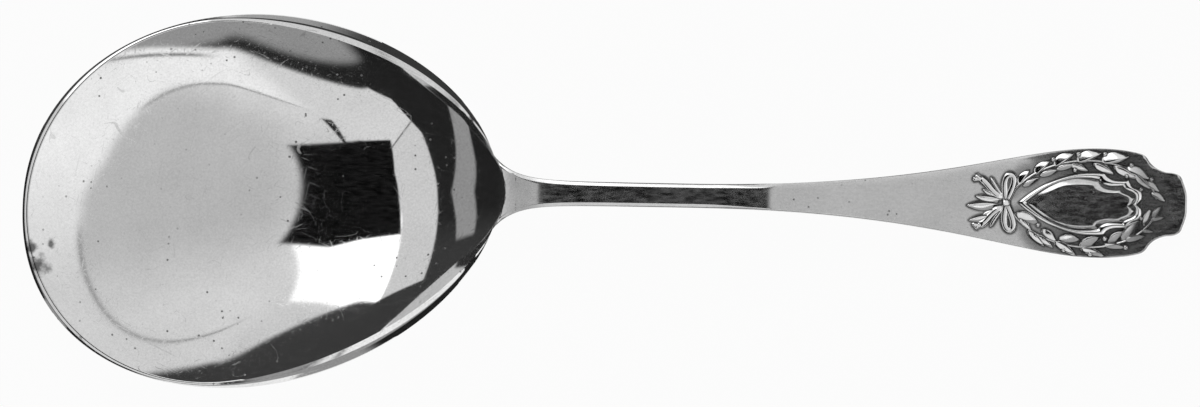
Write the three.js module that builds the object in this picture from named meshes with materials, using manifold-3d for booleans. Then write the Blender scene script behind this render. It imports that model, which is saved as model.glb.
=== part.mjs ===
import * as THREE from "three";
import { LoftGeometry } from "three/addons/geometries/LoftGeometry.js";
import { TessellateModifier } from "three/addons/modifiers/TessellateModifier.js";
import { mergeVertices } from "three/addons/utils/BufferGeometryUtils.js";
import Module from "manifold-3d";

const wasm = await Module();
wasm.setup();

const { clamp, degToRad, lerp, smoothstep } = THREE.MathUtils;

// Preserve spoon, lying with its hollow side up. Lengths are in millimetres.
// x runs from the bowl's tip to the handle's end, y across, z up from the table.
// Left and right are as the spoon is held, bowl pointing away, so left is -y.

// Bowl outline: an egg of two superellipse ends that leans to the left towards its tip
const BOWL_WIDTH = 59.2;
const BOWL_TIP_REACH = 35;
const BOWL_HEEL_REACH = 40.5;
const BOWL_TIP_FULLNESS = 2.15;
const BOWL_HEEL_FULLNESS = 1.85;
const BOWL_LEAN = 4.2;
const BOWL_LEAN_LENGTH = 70;

// Bowl hollow: a second egg inside the rim, dished down to its deepest point
const RIM_AT_TIP = 0.6;
const RIM_AT_SIDE = 0.85;
const RIM_SLOPE = 0.6;
const RIM_LAND = 0.5;
const HOLLOW_WIDEST_SHIFT = 4;
const HOLLOW_HEEL_OVERRUN = 0.9;
const HOLLOW_TIP_FULLNESS = 2;
const HOLLOW_HEEL_FULLNESS = 1.7;
const BOWL_DEPTH = 8.5;
const TIP_RISE = 1.5;
const DISHING_TO_SIDES = 2.2;
const DISHING_TO_TIP = 1.65;
const DISHING_TO_HEEL = 2;
const FLOOR_THICKNESS = 1.6;
const DEEPEST_FROM_HEEL = 21.5;
const REST_SPOT_RADIUS = 4;

// Handle: a narrow arched stem that swells into a flat blade
const HANDLE_LENGTH = 108.7;
const STEM_WIDTH = 3.8;
const STEM_THICKNESS = 3.3;
const BLADE_WIDTH = 17.3;
const BLADE_THICKNESS = 2.4;
const EDGE_ROUND = 0.55;
const ROOT_SPREAD = 4.5;
const ROOT_FADE = 3.2;
const ROOT_BEFORE_HEEL = 1.5;
const HEEL_BLEND = 6;
const BOWL_JOINT_FROM_HEEL = 2.5;
const BLADE_JOINT_FROM_HEEL = 44.5;
const ARCH_FROM_HEEL = 34;
const ARCH_RISE = 2.4;
const ARCH_FULLNESS = 5;
const FALL_RAMP = 20;
const FALL_EASE = 57;
const END_SLOPE = 0.035;
const END_THICKNESS = 2;
const NARROWEST_FROM_HEEL = 30;
const SWELL_START_PULL = 39.5;
const SWELL_END_PULL = 13.3;
const WIDEST_FROM_END = 14;

// Handle end: two rounded ears, a hollow curve and a square tab
const EAR_FROM_END = 7.9;
const EAR_WIDTH = 16.1;
const EAR_ROUND = 1.7;
const EAR_DROP = 1.1;
const TAB_WIDTH = 10.1;
const TAB_LENGTH = 3.2;
const TAB_ROUND = 1.4;
const TAB_END_BULGE = 0.7;
const TAB_TIP_WIDTH = 1.8;

// Shield in the middle of the ornament: a raised field inside a bead
const SHIELD_FROM_END = 7.3;
const SHIELD_LENGTH = 19.4;
const SHIELD_WIDTH = 9.7;
const SHIELD_SHOULDER_FROM_BLUNT = 6;
const SHIELD_NECK_FROM_BLUNT = 3.9;
const SHIELD_NECK_WIDTH = 7.5;
const SHIELD_CORNER_FROM_BLUNT = 2.1;
const SHIELD_LOBE_WIDTH = 4.6;
const SHIELD_NOTCH = 0.5;
const BEAD_WIDTH = 0.5;
const BEAD_HEIGHT = 0.35;
const SHIELD_GROOVE = 0.15;
const FIELD_BEVEL = 0.6;
const FIELD_HEIGHT = 0.4;

// Ribbon bow, its tails and the cut stalks of the laurel
const KNOT_BEFORE_SHIELD = 1.9;
const KNOT_WIDTH = 1.1;
const KNOT_HEIGHT = 0.75;
const LOOP_LENGTH = 4.9;
const LOOP_WIDTH = 1.9;
const LOOP_BAND = 0.55;
const LOOP_HEIGHT = 0.5;
const TAIL_LENGTH = 4.6;
const TAIL_WIDTH = 1.1;
const TAIL_HEIGHT = 0.3;
const TAIL_ANGLE = 140;
const STALK_LENGTH = 4.4;
const STALK_WIDTH = 0.75;
const STALK_HEIGHT = 0.4;
const STALK_SPREAD = 17;
const STALK_COUNT = 4;

// Laurel branches beside the shield
const TWIG_WIDTH = 0.6;
const TWIG_HEIGHT = 0.35;
const TWIG_CURL = 2.2;
const TWIG_CURL_HALF_GAP = 2;
const LEAF_LENGTH = 3.2;
const LEAF_WIDTH = 1.15;
const LEAF_HEIGHT = 0.5;
const LEAF_SPREAD_OUT = 20;
const LEAF_SPREAD_IN = 32;
const LEAF_PAIRS = 7;
const BERRY_DIAMETER = 0.75;
const BERRY_HEIGHT = 0.45;

// Clearances
const SOLDER_FILM = 0.05;
const ORNAMENT_GAP = 0.2;
const DRAPE_STEP = 2.5;

// Places along the spoon that follow from the sizes
const HEEL_X = BOWL_TIP_REACH + BOWL_HEEL_REACH;
const HOLLOW_END_X = HEEL_X + HOLLOW_HEEL_OVERRUN;
const BOWL_JOINT_X = HEEL_X + BOWL_JOINT_FROM_HEEL;
const BLADE_JOINT_X = HEEL_X + BLADE_JOINT_FROM_HEEL;
const ARCH_X = HEEL_X + ARCH_FROM_HEEL;
const NARROWEST_X = HEEL_X + NARROWEST_FROM_HEEL;
const END_X = HEEL_X + HANDLE_LENGTH;
const WIDEST_X = END_X - WIDEST_FROM_END;
const SHIELD_BLUNT_X = END_X - SHIELD_FROM_END;
const SHIELD_TIP_X = SHIELD_BLUNT_X - SHIELD_LENGTH;
const KNOT_X = SHIELD_TIP_X - KNOT_BEFORE_SHIELD;
const RIM_HEIGHT = FLOOR_THICKNESS + BOWL_DEPTH;
const ARCH_HEIGHT = RIM_HEIGHT + ARCH_RISE;
const DEEPEST_X = HEEL_X - DEEPEST_FROM_HEEL;

// Half width of a superellipse egg whose widest place is at `widest`
function eggHalf(x, egg) {
  const heelwards = x > egg.widest;
  const reach = heelwards ? egg.heelReach : egg.tipReach;
  const fullness = heelwards ? egg.heelFullness : egg.tipFullness;
  const share = Math.min(Math.abs(x - egg.widest) / reach, 1);
  return egg.half * (1 - share ** fullness) ** (1 / fullness);
}

const OUTER_EGG = {
  widest: BOWL_TIP_REACH,
  tipReach: BOWL_TIP_REACH,
  heelReach: BOWL_HEEL_REACH,
  half: BOWL_WIDTH / 2,
  tipFullness: BOWL_TIP_FULLNESS,
  heelFullness: BOWL_HEEL_FULLNESS,
};

const HOLLOW_WIDEST_X = BOWL_TIP_REACH - HOLLOW_WIDEST_SHIFT;
const HOLLOW_EGG = {
  widest: HOLLOW_WIDEST_X,
  tipReach: HOLLOW_WIDEST_X - RIM_AT_TIP,
  heelReach: HOLLOW_END_X - HOLLOW_WIDEST_X,
  half: BOWL_WIDTH / 2 - RIM_AT_SIDE,
  tipFullness: HOLLOW_TIP_FULLNESS,
  heelFullness: HOLLOW_HEEL_FULLNESS,
};

// Sideways place of the bowl's middle line
function bowlMiddle(x) {
  return -BOWL_LEAN * Math.max(0, 1 - x / BOWL_LEAN_LENGTH);
}

const DEEPEST = new THREE.Vector2(DEEPEST_X, bowlMiddle(DEEPEST_X));

// Height of the rim's inner crest, which climbs towards the tip
function rimCrest(x) {
  return RIM_HEIGHT + TIP_RISE * Math.max(0, 1 - x / BOWL_TIP_REACH) ** 2;
}

// Height of the hollow's middle line, from its deepest point up to the rim at both ends
function hollowFloor(x) {
  const tipwards = x < DEEPEST_X;
  const rimX = tipwards ? RIM_AT_TIP : HOLLOW_END_X;
  const dishing = tipwards ? DISHING_TO_TIP : DISHING_TO_HEEL;
  const share = (x - DEEPEST_X) / (rimX - DEEPEST_X);
  return lerp(FLOOR_THICKNESS, rimCrest(rimX), share ** dishing);
}

// Height of the hollow: each cross-section climbs from the middle line to the rim on both sides
function hollowHeight(place) {
  const across = Math.abs(place.y - bowlMiddle(place.x));
  const share = Math.min(across / eggHalf(place.x, HOLLOW_EGG), 1);
  return lerp(hollowFloor(place.x), rimCrest(place.x), share ** DISHING_TO_SIDES);
}

// Half outline of the handle from its narrowest place to its end
function handleOutline() {
  const stem = STEM_WIDTH / 2;
  const blade = BLADE_WIDTH / 2;
  const ear = EAR_WIDTH / 2;
  const tab = TAB_WIDTH / 2;
  const earX = END_X - EAR_FROM_END;
  const tabX = END_X - TAB_LENGTH;
  const earEnd = new THREE.Vector2(earX + EAR_ROUND, ear - EAR_DROP);
  const tabEnd = new THREE.Vector2(END_X - TAB_END_BULGE, tab - TAB_ROUND);
  const swell = new THREE.CubicBezierCurve(
    new THREE.Vector2(NARROWEST_X, stem),
    new THREE.Vector2(NARROWEST_X + SWELL_START_PULL, stem),
    new THREE.Vector2(WIDEST_X - SWELL_END_PULL, blade),
    new THREE.Vector2(WIDEST_X, blade),
  );
  const terminal = new THREE.Path();
  terminal.moveTo(WIDEST_X, blade);
  terminal.quadraticCurveTo(lerp(WIDEST_X, earX, 0.55), blade, earX, ear);
  terminal.quadraticCurveTo(lerp(earX, earEnd.x, 0.7), ear - EAR_DROP * 0.2, earEnd.x, earEnd.y);
  terminal.quadraticCurveTo(lerp(earEnd.x, tabX, 0.3), lerp(tab, earEnd.y, 0.2), tabX, tab);
  terminal.quadraticCurveTo(tabEnd.x - TAB_END_BULGE * 0.4, tab, tabEnd.x, tabEnd.y);
  terminal.quadraticCurveTo(END_X, tabEnd.y * 0.55, END_X, TAB_TIP_WIDTH / 2);
  return [...swell.getPoints(26), ...terminal.getPoints(5).slice(1)];
}

const HANDLE_OUTLINE = handleOutline();

// Height of a run of points, in order of x, at one x
function heightAt(points, x) {
  const next = points.findIndex((point) => point.x >= x);
  if (next === 0) return points[0].y;
  if (next < 0) return points.at(-1).y;
  const before = points[next - 1];
  const after = points[next];
  return lerp(before.y, after.y, (x - before.x) / (after.x - before.x));
}

// Half width of the handle, with the root that spreads to meet the bowl
function handleHalf(x) {
  const pastRoot = Math.max(0, x - HEEL_X + ROOT_BEFORE_HEEL);
  return heightAt(HANDLE_OUTLINE, x) + ROOT_SPREAD * Math.exp(-pastRoot / ROOT_FADE);
}

// Steepest slope of the fall from the arch to the end, set by how far the handle comes down
const FALL_LENGTH = END_X - ARCH_X;
const FALL_DROP = ARCH_HEIGHT - END_THICKNESS - (END_SLOPE * FALL_EASE) / 2;
const FALL_SLOPE = FALL_DROP / (FALL_LENGTH - (FALL_RAMP + FALL_EASE) / 2);

// Length covered at a pace that grows smoothly from nothing to one over a ramp
function rampedLength(length, ramp) {
  const share = clamp(length / ramp, 0, 1);
  return ramp * (share ** 3 - share ** 4 / 2) + Math.max(0, length - ramp);
}

// Height of the handle's upper face: a rise to the arch, then one long fall that eases to the table
function handleTop(x) {
  const fall = FALL_SLOPE * rampedLength(x - ARCH_X, FALL_RAMP);
  const eased = (FALL_SLOPE - END_SLOPE) * rampedLength(x - END_X + FALL_EASE, FALL_EASE);
  if (x > ARCH_X) return ARCH_HEIGHT - fall + eased;
  const share = (ARCH_X - x) / (ARCH_X - HOLLOW_END_X);
  return ARCH_HEIGHT - ARCH_RISE * share ** ARCH_FULLNESS;
}

// Height of the handle's lower face, worn flat where its end lies on the table
function handleBottom(x) {
  const thickness = lerp(STEM_THICKNESS, BLADE_THICKNESS, smoothstep(x, ARCH_X, WIDEST_X));
  return Math.max(0, handleTop(x) - thickness);
}

// Closed geometry with shared vertices, no collapsed faces, and faces that point out
function closed(source) {
  const bare = new THREE.BufferGeometry();
  bare.setAttribute("position", source.getAttribute("position").clone());
  bare.setIndex(source.getIndex() ? source.getIndex().clone() : null);
  const merged = mergeVertices(bare, 1e-3);
  const place = merged.getAttribute("position");
  const corners = [0, 1, 2].map(() => new THREE.Vector3());
  const faces = [];
  let volume = 0;
  for (let i = 0; i < merged.index.count; i += 3) {
    const face = [0, 1, 2].map((k) => merged.index.getX(i + k));
    if (new Set(face).size < 3) continue;
    face.forEach((vertex, k) => corners[k].fromBufferAttribute(place, vertex));
    volume += corners[0].dot(corners[1].clone().cross(corners[2]));
    faces.push(face);
  }
  merged.setIndex((volume < 0 ? faces.map((face) => face.toReversed()) : faces).flat());
  merged.computeVertexNormals();
  return merged;
}

function toSolid(geometry) {
  const { index, attributes } = closed(geometry);
  return new wasm.Manifold(
    new wasm.Mesh({
      numProp: 3,
      vertProperties: new Float32Array(attributes.position.array),
      triVerts: new Uint32Array(index.array),
    }),
  );
}

function fromSolid(solid) {
  const { vertProperties, triVerts } = solid.getMesh();
  const geometry = new THREE.BufferGeometry();
  geometry.setAttribute("position", new THREE.BufferAttribute(vertProperties, 3));
  geometry.setIndex(new THREE.BufferAttribute(triVerts, 1));
  return geometry;
}

function joined(geometries) {
  return geometries.map(toSolid).reduce((sum, solid) => sum.add(solid));
}

function silverMesh(name, geometry, color, roughness) {
  const material = new THREE.MeshStandardMaterial({ color, roughness, metalness: 1 });
  const mesh = new THREE.Mesh(geometry, material);
  mesh.name = name;
  return mesh;
}

// Outline of the bowl, anticlockwise from the right corner of the stem joint
function bowlOutline() {
  const tipSteps = 12;
  const heelSteps = 14;
  const stations = [];
  for (let i = 1; i <= tipSteps; i += 1) {
    stations.push(BOWL_TIP_REACH * (1 - Math.cos((i / tipSteps) * (Math.PI / 2))));
  }
  for (let i = 1; i <= heelSteps; i += 1) {
    const share = Math.sin((i / heelSteps) * (Math.PI / 2));
    stations.push(lerp(BOWL_TIP_REACH, BOWL_JOINT_X, share));
  }
  const half = (x) => {
    const egg = eggHalf(x, OUTER_EGG);
    return x > BOWL_TIP_REACH ? Math.max(egg, handleHalf(x)) : egg;
  };
  const right = stations.map((x) => new THREE.Vector2(x, bowlMiddle(x) + half(x)));
  const left = stations.map((x) => new THREE.Vector2(x, bowlMiddle(x) - half(x)));
  const tip = new THREE.Vector2(0, bowlMiddle(0));
  const joint = new THREE.Vector2(BOWL_JOINT_X, 0);
  return [...right.toReversed(), tip, ...left, joint];
}

// Share of the way from the deepest point to an outline point that lies in the hollow
function hollowShare(point) {
  let inside = 0;
  let outside = 1;
  for (let i = 0; i < 30; i += 1) {
    const share = (inside + outside) / 2;
    const place = DEEPEST.clone().lerp(point, share);
    const across = Math.abs(place.y - bowlMiddle(place.x));
    const within = place.x < HOLLOW_END_X && across < eggHalf(place.x, HOLLOW_EGG);
    if (within) inside = share;
    else outside = share;
  }
  return inside;
}

// Bowl: rings on rays from the deepest point, down the hollow, over the rim and back underneath
function bowl() {
  const rings = 8;
  const rays = bowlOutline().map((point) => {
    const reach = point.distanceTo(DEEPEST);
    const hollow = hollowShare(point);
    const crest = hollowHeight(DEEPEST.clone().lerp(point, hollow));
    const heel = smoothstep(point.x, HEEL_X - HEEL_BLEND, BOWL_JOINT_X);
    const rimEdge = crest - RIM_SLOPE * reach * (1 - hollow);
    const top = lerp(rimEdge, handleTop(BOWL_JOINT_X), heel);
    const bottom = lerp(rimEdge - RIM_LAND, handleBottom(BOWL_JOINT_X), heel);
    return { point, reach, hollow, crest, top, bottom };
  });
  const rise = (ray, share) => {
    const place = DEEPEST.clone().lerp(ray.point, share * ray.hollow);
    return (hollowHeight(place) - FLOOR_THICKNESS) / (ray.crest - FLOOR_THICKNESS);
  };
  const section = (share, height) =>
    rays.map((ray) => {
      const plan = DEEPEST.clone().lerp(ray.point, share(ray));
      return new THREE.Vector3(plan.x, plan.y, height(ray));
    });
  const sections = [];
  for (let i = 0; i <= rings; i += 1) {
    const share = i / rings;
    const height = (ray) => lerp(FLOOR_THICKNESS, ray.crest, rise(ray, share));
    sections.push(section((ray) => share * ray.hollow, height));
  }
  sections.push(section(() => 1, (ray) => ray.top));
  for (let i = rings; i >= 0; i -= 1) {
    const share = i / rings;
    const spot = (ray) => REST_SPOT_RADIUS / ray.reach;
    sections.push(section((ray) => lerp(spot(ray), 1, share), (ray) => ray.bottom * rise(ray, share)));
  }
  sections.push(section(() => 0, () => 0));
  return closed(new LoftGeometry(sections));
}

// Cross-section of the handle: flat faces with rounded edges
function handleSection(x, half) {
  const top = handleTop(x);
  const bottom = handleBottom(x);
  const ease = smoothstep(x, BOWL_JOINT_X - EDGE_ROUND, BOWL_JOINT_X + HEEL_BLEND);
  const round = Math.min(EDGE_ROUND * ease, half / 2);
  const slack = round * (1 - Math.SQRT1_2);
  const corner = [
    [half - round, 0],
    [half - slack, slack],
    [half, round],
  ];
  const rightBottom = corner.map(([y, rise]) => [y, bottom + rise]);
  const rightTop = corner.map(([y, drop]) => [y, top - drop]).toReversed();
  const right = [...rightBottom, ...rightTop];
  const left = right.map(([y, z]) => [-y, z]).toReversed();
  return [...right, ...left].map(([y, z]) => new THREE.Vector3(x, y, z));
}

function handlePiece(stations) {
  const sections = stations.map((x) => handleSection(x, handleHalf(x)));
  return closed(new LoftGeometry(sections, { capStart: true, capEnd: true }));
}

function stem() {
  const steps = 24;
  const start = BOWL_JOINT_X + SOLDER_FILM;
  const end = BLADE_JOINT_X - SOLDER_FILM / 2;
  const stations = Array.from({ length: steps + 1 }, (_, i) => lerp(start, end, (i / steps) ** 1.3));
  return handlePiece(stations);
}

function blade() {
  const start = BLADE_JOINT_X + SOLDER_FILM / 2;
  const beyond = HANDLE_OUTLINE.map((point) => point.x).filter((x) => x > start + SOLDER_FILM);
  return handlePiece([start, ...beyond]);
}

// Bends a flat relief, built on z = 0, onto the handle's upper face
function draped(source) {
  const flat = source.getIndex() ? source.toNonIndexed() : source;
  flat.deleteAttribute("uv");
  flat.deleteAttribute("normal");
  const fine = new TessellateModifier(DRAPE_STEP, 5).modify(flat);
  const place = fine.getAttribute("position");
  for (let i = 0; i < place.count; i += 1) {
    place.setZ(i, place.getZ(i) + handleTop(place.getX(i)) + SOLDER_FILM);
  }
  return closed(fine);
}

// Loop of the shield's outline, drawn in by an inset
function shieldLoop(inset) {
  const half = SHIELD_WIDTH / 2 - inset;
  const neck = SHIELD_NECK_WIDTH / 2 - inset;
  const lobe = SHIELD_LOBE_WIDTH / 2 - inset / 2;
  const tip = SHIELD_TIP_X + inset * Math.SQRT2;
  const blunt = SHIELD_BLUNT_X - inset;
  const shoulder = SHIELD_BLUNT_X - SHIELD_SHOULDER_FROM_BLUNT - inset / 2;
  const neckX = SHIELD_BLUNT_X - SHIELD_NECK_FROM_BLUNT - inset / 2;
  const corner = SHIELD_BLUNT_X - SHIELD_CORNER_FROM_BLUNT - inset / 2;
  const flank = lerp(tip, shoulder, 0.87);
  const side = new THREE.Path();
  side.moveTo(tip, 0);
  side.quadraticCurveTo(lerp(tip, flank, 0.41), half, flank, half);
  side.lineTo(shoulder, half);
  side.bezierCurveTo(lerp(shoulder, neckX, 0.35), half, lerp(shoulder, neckX, 0.35), neck, neckX, neck);
  side.lineTo(corner, neck);
  side.lineTo(lerp(corner, blunt, 0.75), lobe);
  side.quadraticCurveTo(blunt + SHIELD_NOTCH * 0.3, lobe * 0.7, blunt, lobe * 0.4);
  side.quadraticCurveTo(blunt, lobe * 0.15, blunt - SHIELD_NOTCH, 0);
  const right = side.getPoints(7);
  const left = right.slice(1, -1).map((point) => new THREE.Vector2(point.x, -point.y));
  return [...right.toReversed(), ...left];
}

function raised(loop, height) {
  return loop.map((point) => new THREE.Vector3(point.x, point.y, height));
}

function shieldBead() {
  const quarter = BEAD_WIDTH / 4;
  const foot = raised(shieldLoop(0), 0);
  const crest = raised(shieldLoop(quarter), BEAD_HEIGHT);
  const innerCrest = raised(shieldLoop(BEAD_WIDTH - quarter), BEAD_HEIGHT);
  const innerFoot = raised(shieldLoop(BEAD_WIDTH), 0);
  return draped(new LoftGeometry([foot, crest, innerCrest, innerFoot, foot]));
}

function shieldField() {
  const inset = BEAD_WIDTH + SHIELD_GROOVE;
  const middle = new THREE.Vector2((SHIELD_TIP_X + SHIELD_BLUNT_X) / 2, 0);
  const shrunk = (loop, share) => loop.map((point) => middle.clone().lerp(point, share));
  const foot = shieldLoop(inset);
  const face = shieldLoop(inset + FIELD_BEVEL);
  const shares = [0.6, 0.3, 0];
  return draped(
    new LoftGeometry([
      ...shares.toReversed().map((share) => raised(shrunk(foot, share), 0)),
      raised(foot, 0),
      raised(face, FIELD_HEIGHT),
      ...shares.map((share) => raised(shrunk(face, share), FIELD_HEIGHT)),
    ]),
  );
}

// Low leaf from its foot to its point, with a rib along the middle
function leaf(foot, point, width, height) {
  const along = point.clone().sub(foot);
  const across = new THREE.Vector2(-along.y, along.x).normalize();
  const sections = [0, 0.2, 0.5, 0.8, 1].map((share) => {
    const swell = Math.sin(Math.PI * share) ** 0.8;
    const middle = foot.clone().addScaledVector(along, share);
    const reach = (width / 2) * swell;
    const right = middle.clone().addScaledVector(across, -reach);
    const left = middle.clone().addScaledVector(across, reach);
    return [
      new THREE.Vector3(right.x, right.y, 0),
      new THREE.Vector3(middle.x, middle.y, height * swell),
      new THREE.Vector3(left.x, left.y, 0),
    ];
  });
  return new LoftGeometry(sections);
}

// Low dome with an oval foot
function button(centre, width, depth, height) {
  const sides = 10;
  const oval = (share, z) =>
    Array.from({ length: sides }, (_, i) => {
      const turn = (i / sides) * 2 * Math.PI;
      const x = centre.x + (width / 2) * share * Math.cos(turn);
      const y = centre.y + (depth / 2) * share * Math.sin(turn);
      return new THREE.Vector3(x, y, z);
    });
  return new LoftGeometry([oval(0, 0), oval(1, 0), oval(0.75, height * 0.7), oval(0, height)]);
}

// Flat-bottomed strip along a plan curve
function strip(curve, steps, width, height) {
  const sections = [];
  for (let i = 0; i <= steps; i += 1) {
    const middle = curve.getPoint(i / steps);
    const ahead = curve.getTangent(i / steps);
    const across = new THREE.Vector2(-ahead.y, ahead.x).multiplyScalar(width / 2);
    const right = middle.clone().sub(across);
    const left = middle.clone().add(across);
    const crestRight = middle.clone().addScaledVector(across, -0.5);
    const crestLeft = middle.clone().addScaledVector(across, 0.5);
    sections.push([
      new THREE.Vector3(left.x, left.y, 0),
      new THREE.Vector3(crestLeft.x, crestLeft.y, height),
      new THREE.Vector3(crestRight.x, crestRight.y, height),
      new THREE.Vector3(right.x, right.y, 0),
    ]);
  }
  return new LoftGeometry(sections, { capStart: true, capEnd: true });
}

const LOOP_X = KNOT_X + LOOP_WIDTH / 5;
const LAUREL_START_X = LOOP_X + LOOP_WIDTH / 2 + ORNAMENT_GAP;
const KNOT_EDGE_X = KNOT_X - KNOT_WIDTH / 2 - ORNAMENT_GAP;

// Bow: a knot with one upright loop on each side
function ribbonBow() {
  const loop = (side) => {
    const oval = (inset, height) =>
      Array.from({ length: 18 }, (_, i) => {
        const turn = (i / 18) * 2 * Math.PI;
        const x = LOOP_X + (LOOP_WIDTH / 2 - inset) * Math.cos(turn);
        const y = side * (LOOP_LENGTH / 2) + (LOOP_LENGTH / 2 - inset) * Math.sin(turn);
        return new THREE.Vector3(x, y, height);
      });
    const foot = oval(0, 0);
    return new LoftGeometry([
      foot,
      oval(LOOP_BAND / 4, LOOP_HEIGHT),
      oval(LOOP_BAND * 0.75, LOOP_HEIGHT),
      oval(LOOP_BAND, 0),
      foot,
    ]);
  };
  const knot = button(new THREE.Vector2(KNOT_X, 0), KNOT_WIDTH, KNOT_WIDTH, KNOT_HEIGHT);
  return draped(fromSolid(joined([knot, loop(1), loop(-1)])));
}

// Ribbon tail: a strip away from the knot that ends in two points
function ribbonTail(side) {
  const angle = degToRad(TAIL_ANGLE);
  const start = new THREE.Vector2(KNOT_EDGE_X, side * (STALK_WIDTH + ORNAMENT_GAP + TAIL_WIDTH / 2));
  const ahead = new THREE.Vector2(Math.cos(angle), side * Math.sin(angle));
  const end = start.clone().addScaledVector(ahead, TAIL_LENGTH - TAIL_WIDTH);
  const across = new THREE.Vector2(-ahead.y, ahead.x);
  const band = strip(new THREE.LineCurve(start, end), 3, TAIL_WIDTH, TAIL_HEIGHT);
  const points = [-1, 1].map((turn) => {
    const foot = end.clone().addScaledVector(ahead, -TAIL_WIDTH);
    const point = end.clone().addScaledVector(ahead, TAIL_WIDTH).addScaledVector(across, (turn * TAIL_WIDTH) / 2);
    return leaf(foot, point, TAIL_WIDTH, TAIL_HEIGHT);
  });
  return draped(fromSolid(joined([band, ...points])));
}

// Cut stalks: slim ends that fan out from behind the knot
function laurelStalks() {
  const middle = (STALK_COUNT - 1) / 2;
  const foot = new THREE.Vector2(KNOT_EDGE_X - STALK_WIDTH / 2, 0);
  const stalks = Array.from({ length: STALK_COUNT }, (_, i) => {
    const angle = Math.PI - degToRad((i - middle) * STALK_SPREAD);
    const ahead = new THREE.Vector2(Math.cos(angle), Math.sin(angle));
    return leaf(foot, foot.clone().addScaledVector(ahead, STALK_LENGTH), STALK_WIDTH, STALK_HEIGHT);
  });
  const root = button(foot, STALK_WIDTH, STALK_WIDTH, STALK_HEIGHT);
  return draped(fromSolid(joined([root, ...stalks])));
}

// Middle of the strip of blade between the shield and the edge, and its curl past the blunt end
function twigCurve() {
  const loop = shieldLoop(0).filter((point) => point.y >= 0);
  const edge = loop.toSorted((a, b) => a.x - b.x);
  const middle = (x) => (heightAt(edge, x) + handleHalf(x)) / 2;
  const cornerX = SHIELD_BLUNT_X - SHIELD_CORNER_FROM_BLUNT;
  const stations = [0.15, 0.35, 0.6, 0.8, 1].map((share) => lerp(SHIELD_TIP_X, cornerX, share));
  return new THREE.SplineCurve([
    new THREE.Vector2(LAUREL_START_X, KNOT_WIDTH * 1.5),
    ...stations.map((x) => new THREE.Vector2(x, middle(x))),
    new THREE.Vector2(SHIELD_BLUNT_X + TWIG_CURL / 3, lerp(TWIG_CURL_HALF_GAP, middle(cornerX), 0.55)),
    new THREE.Vector2(SHIELD_BLUNT_X + TWIG_CURL, TWIG_CURL_HALF_GAP),
  ]);
}

// Laurel branch: a twig with pairs of leaves and berries, cut back clear of the shield
function laurelBranch(side) {
  const twig = twigCurve();
  const pieces = [strip(twig, 22, TWIG_WIDTH, TWIG_HEIGHT)];
  for (let i = 0; i < LEAF_PAIRS; i += 1) {
    const share = (i + 0.3) / LEAF_PAIRS;
    const foot = twig.getPoint(share);
    const heading = twig.getTangent(share).angle();
    [LEAF_SPREAD_OUT, -LEAF_SPREAD_IN].forEach((spread) => {
      const turn = heading + degToRad(spread);
      const ahead = new THREE.Vector2(Math.cos(turn), Math.sin(turn));
      const point = foot.clone().addScaledVector(ahead, LEAF_LENGTH);
      pieces.push(leaf(foot, point, LEAF_WIDTH, LEAF_HEIGHT));
    });
    const beside = new THREE.Vector2(-Math.sin(heading), Math.cos(heading));
    const berry = foot.clone().addScaledVector(beside, (TWIG_WIDTH + BERRY_DIAMETER) / 2 - ORNAMENT_GAP / 2);
    pieces.push(button(berry, BERRY_DIAMETER, BERRY_DIAMETER, BERRY_HEIGHT));
  }
  const cutHeight = LEAF_HEIGHT + BERRY_HEIGHT;
  const cutLoop = shieldLoop(-ORNAMENT_GAP);
  const cutter = new LoftGeometry([raised(cutLoop, -cutHeight), raised(cutLoop, cutHeight)], {
    capStart: true,
    capEnd: true,
  });
  const flat = fromSolid(joined(pieces).subtract(toSolid(cutter)));
  flat.scale(1, side, 1);
  return draped(flat);
}

// The whole spoon, with its origin on the table under the middle of its bounding box
function preserveSpoon() {
  const polished = (name, geometry) => silverMesh(name, geometry, 0xc6c6c4, 0.14);
  const chased = (name, geometry) => silverMesh(name, geometry, 0xa9a9a6, 0.26);
  const pieces = new THREE.Group();
  pieces.add(
    polished("bowl", bowl()),
    polished("stem", stem()),
    polished("handle_blade", blade()),
    polished("shield_field", shieldField()),
    chased("shield_bead", shieldBead()),
    chased("ribbon_bow", ribbonBow()),
    chased("ribbon_tail_left", ribbonTail(-1)),
    chased("ribbon_tail_right", ribbonTail(1)),
    chased("laurel_stalks", laurelStalks()),
    chased("laurel_branch_left", laurelBranch(-1)),
    chased("laurel_branch_right", laurelBranch(1)),
  );
  const box = new THREE.Box3().setFromObject(pieces);
  const middle = box.getCenter(new THREE.Vector3());
  pieces.position.set(-middle.x, -middle.y, -box.min.z);
  const spoon = new THREE.Group();
  spoon.add(pieces);
  return spoon;
}

export default preserveSpoon();
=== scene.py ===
"""Preserve spoon in worn silver plate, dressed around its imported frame.

Sizes in the classes are millimetres in spoon coordinates: x runs from the bowl's tip along the handle,
y across it from the handle's axis and z up from the table. Every mesh is turned into frame metres when
it is made.
"""

import logging
import math
from collections.abc import Sequence
from dataclasses import dataclass
from enum import Enum
from typing import Union

import bmesh
import bpy
import numpy as np
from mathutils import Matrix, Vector
from mathutils.bvhtree import BVHTree


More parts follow.
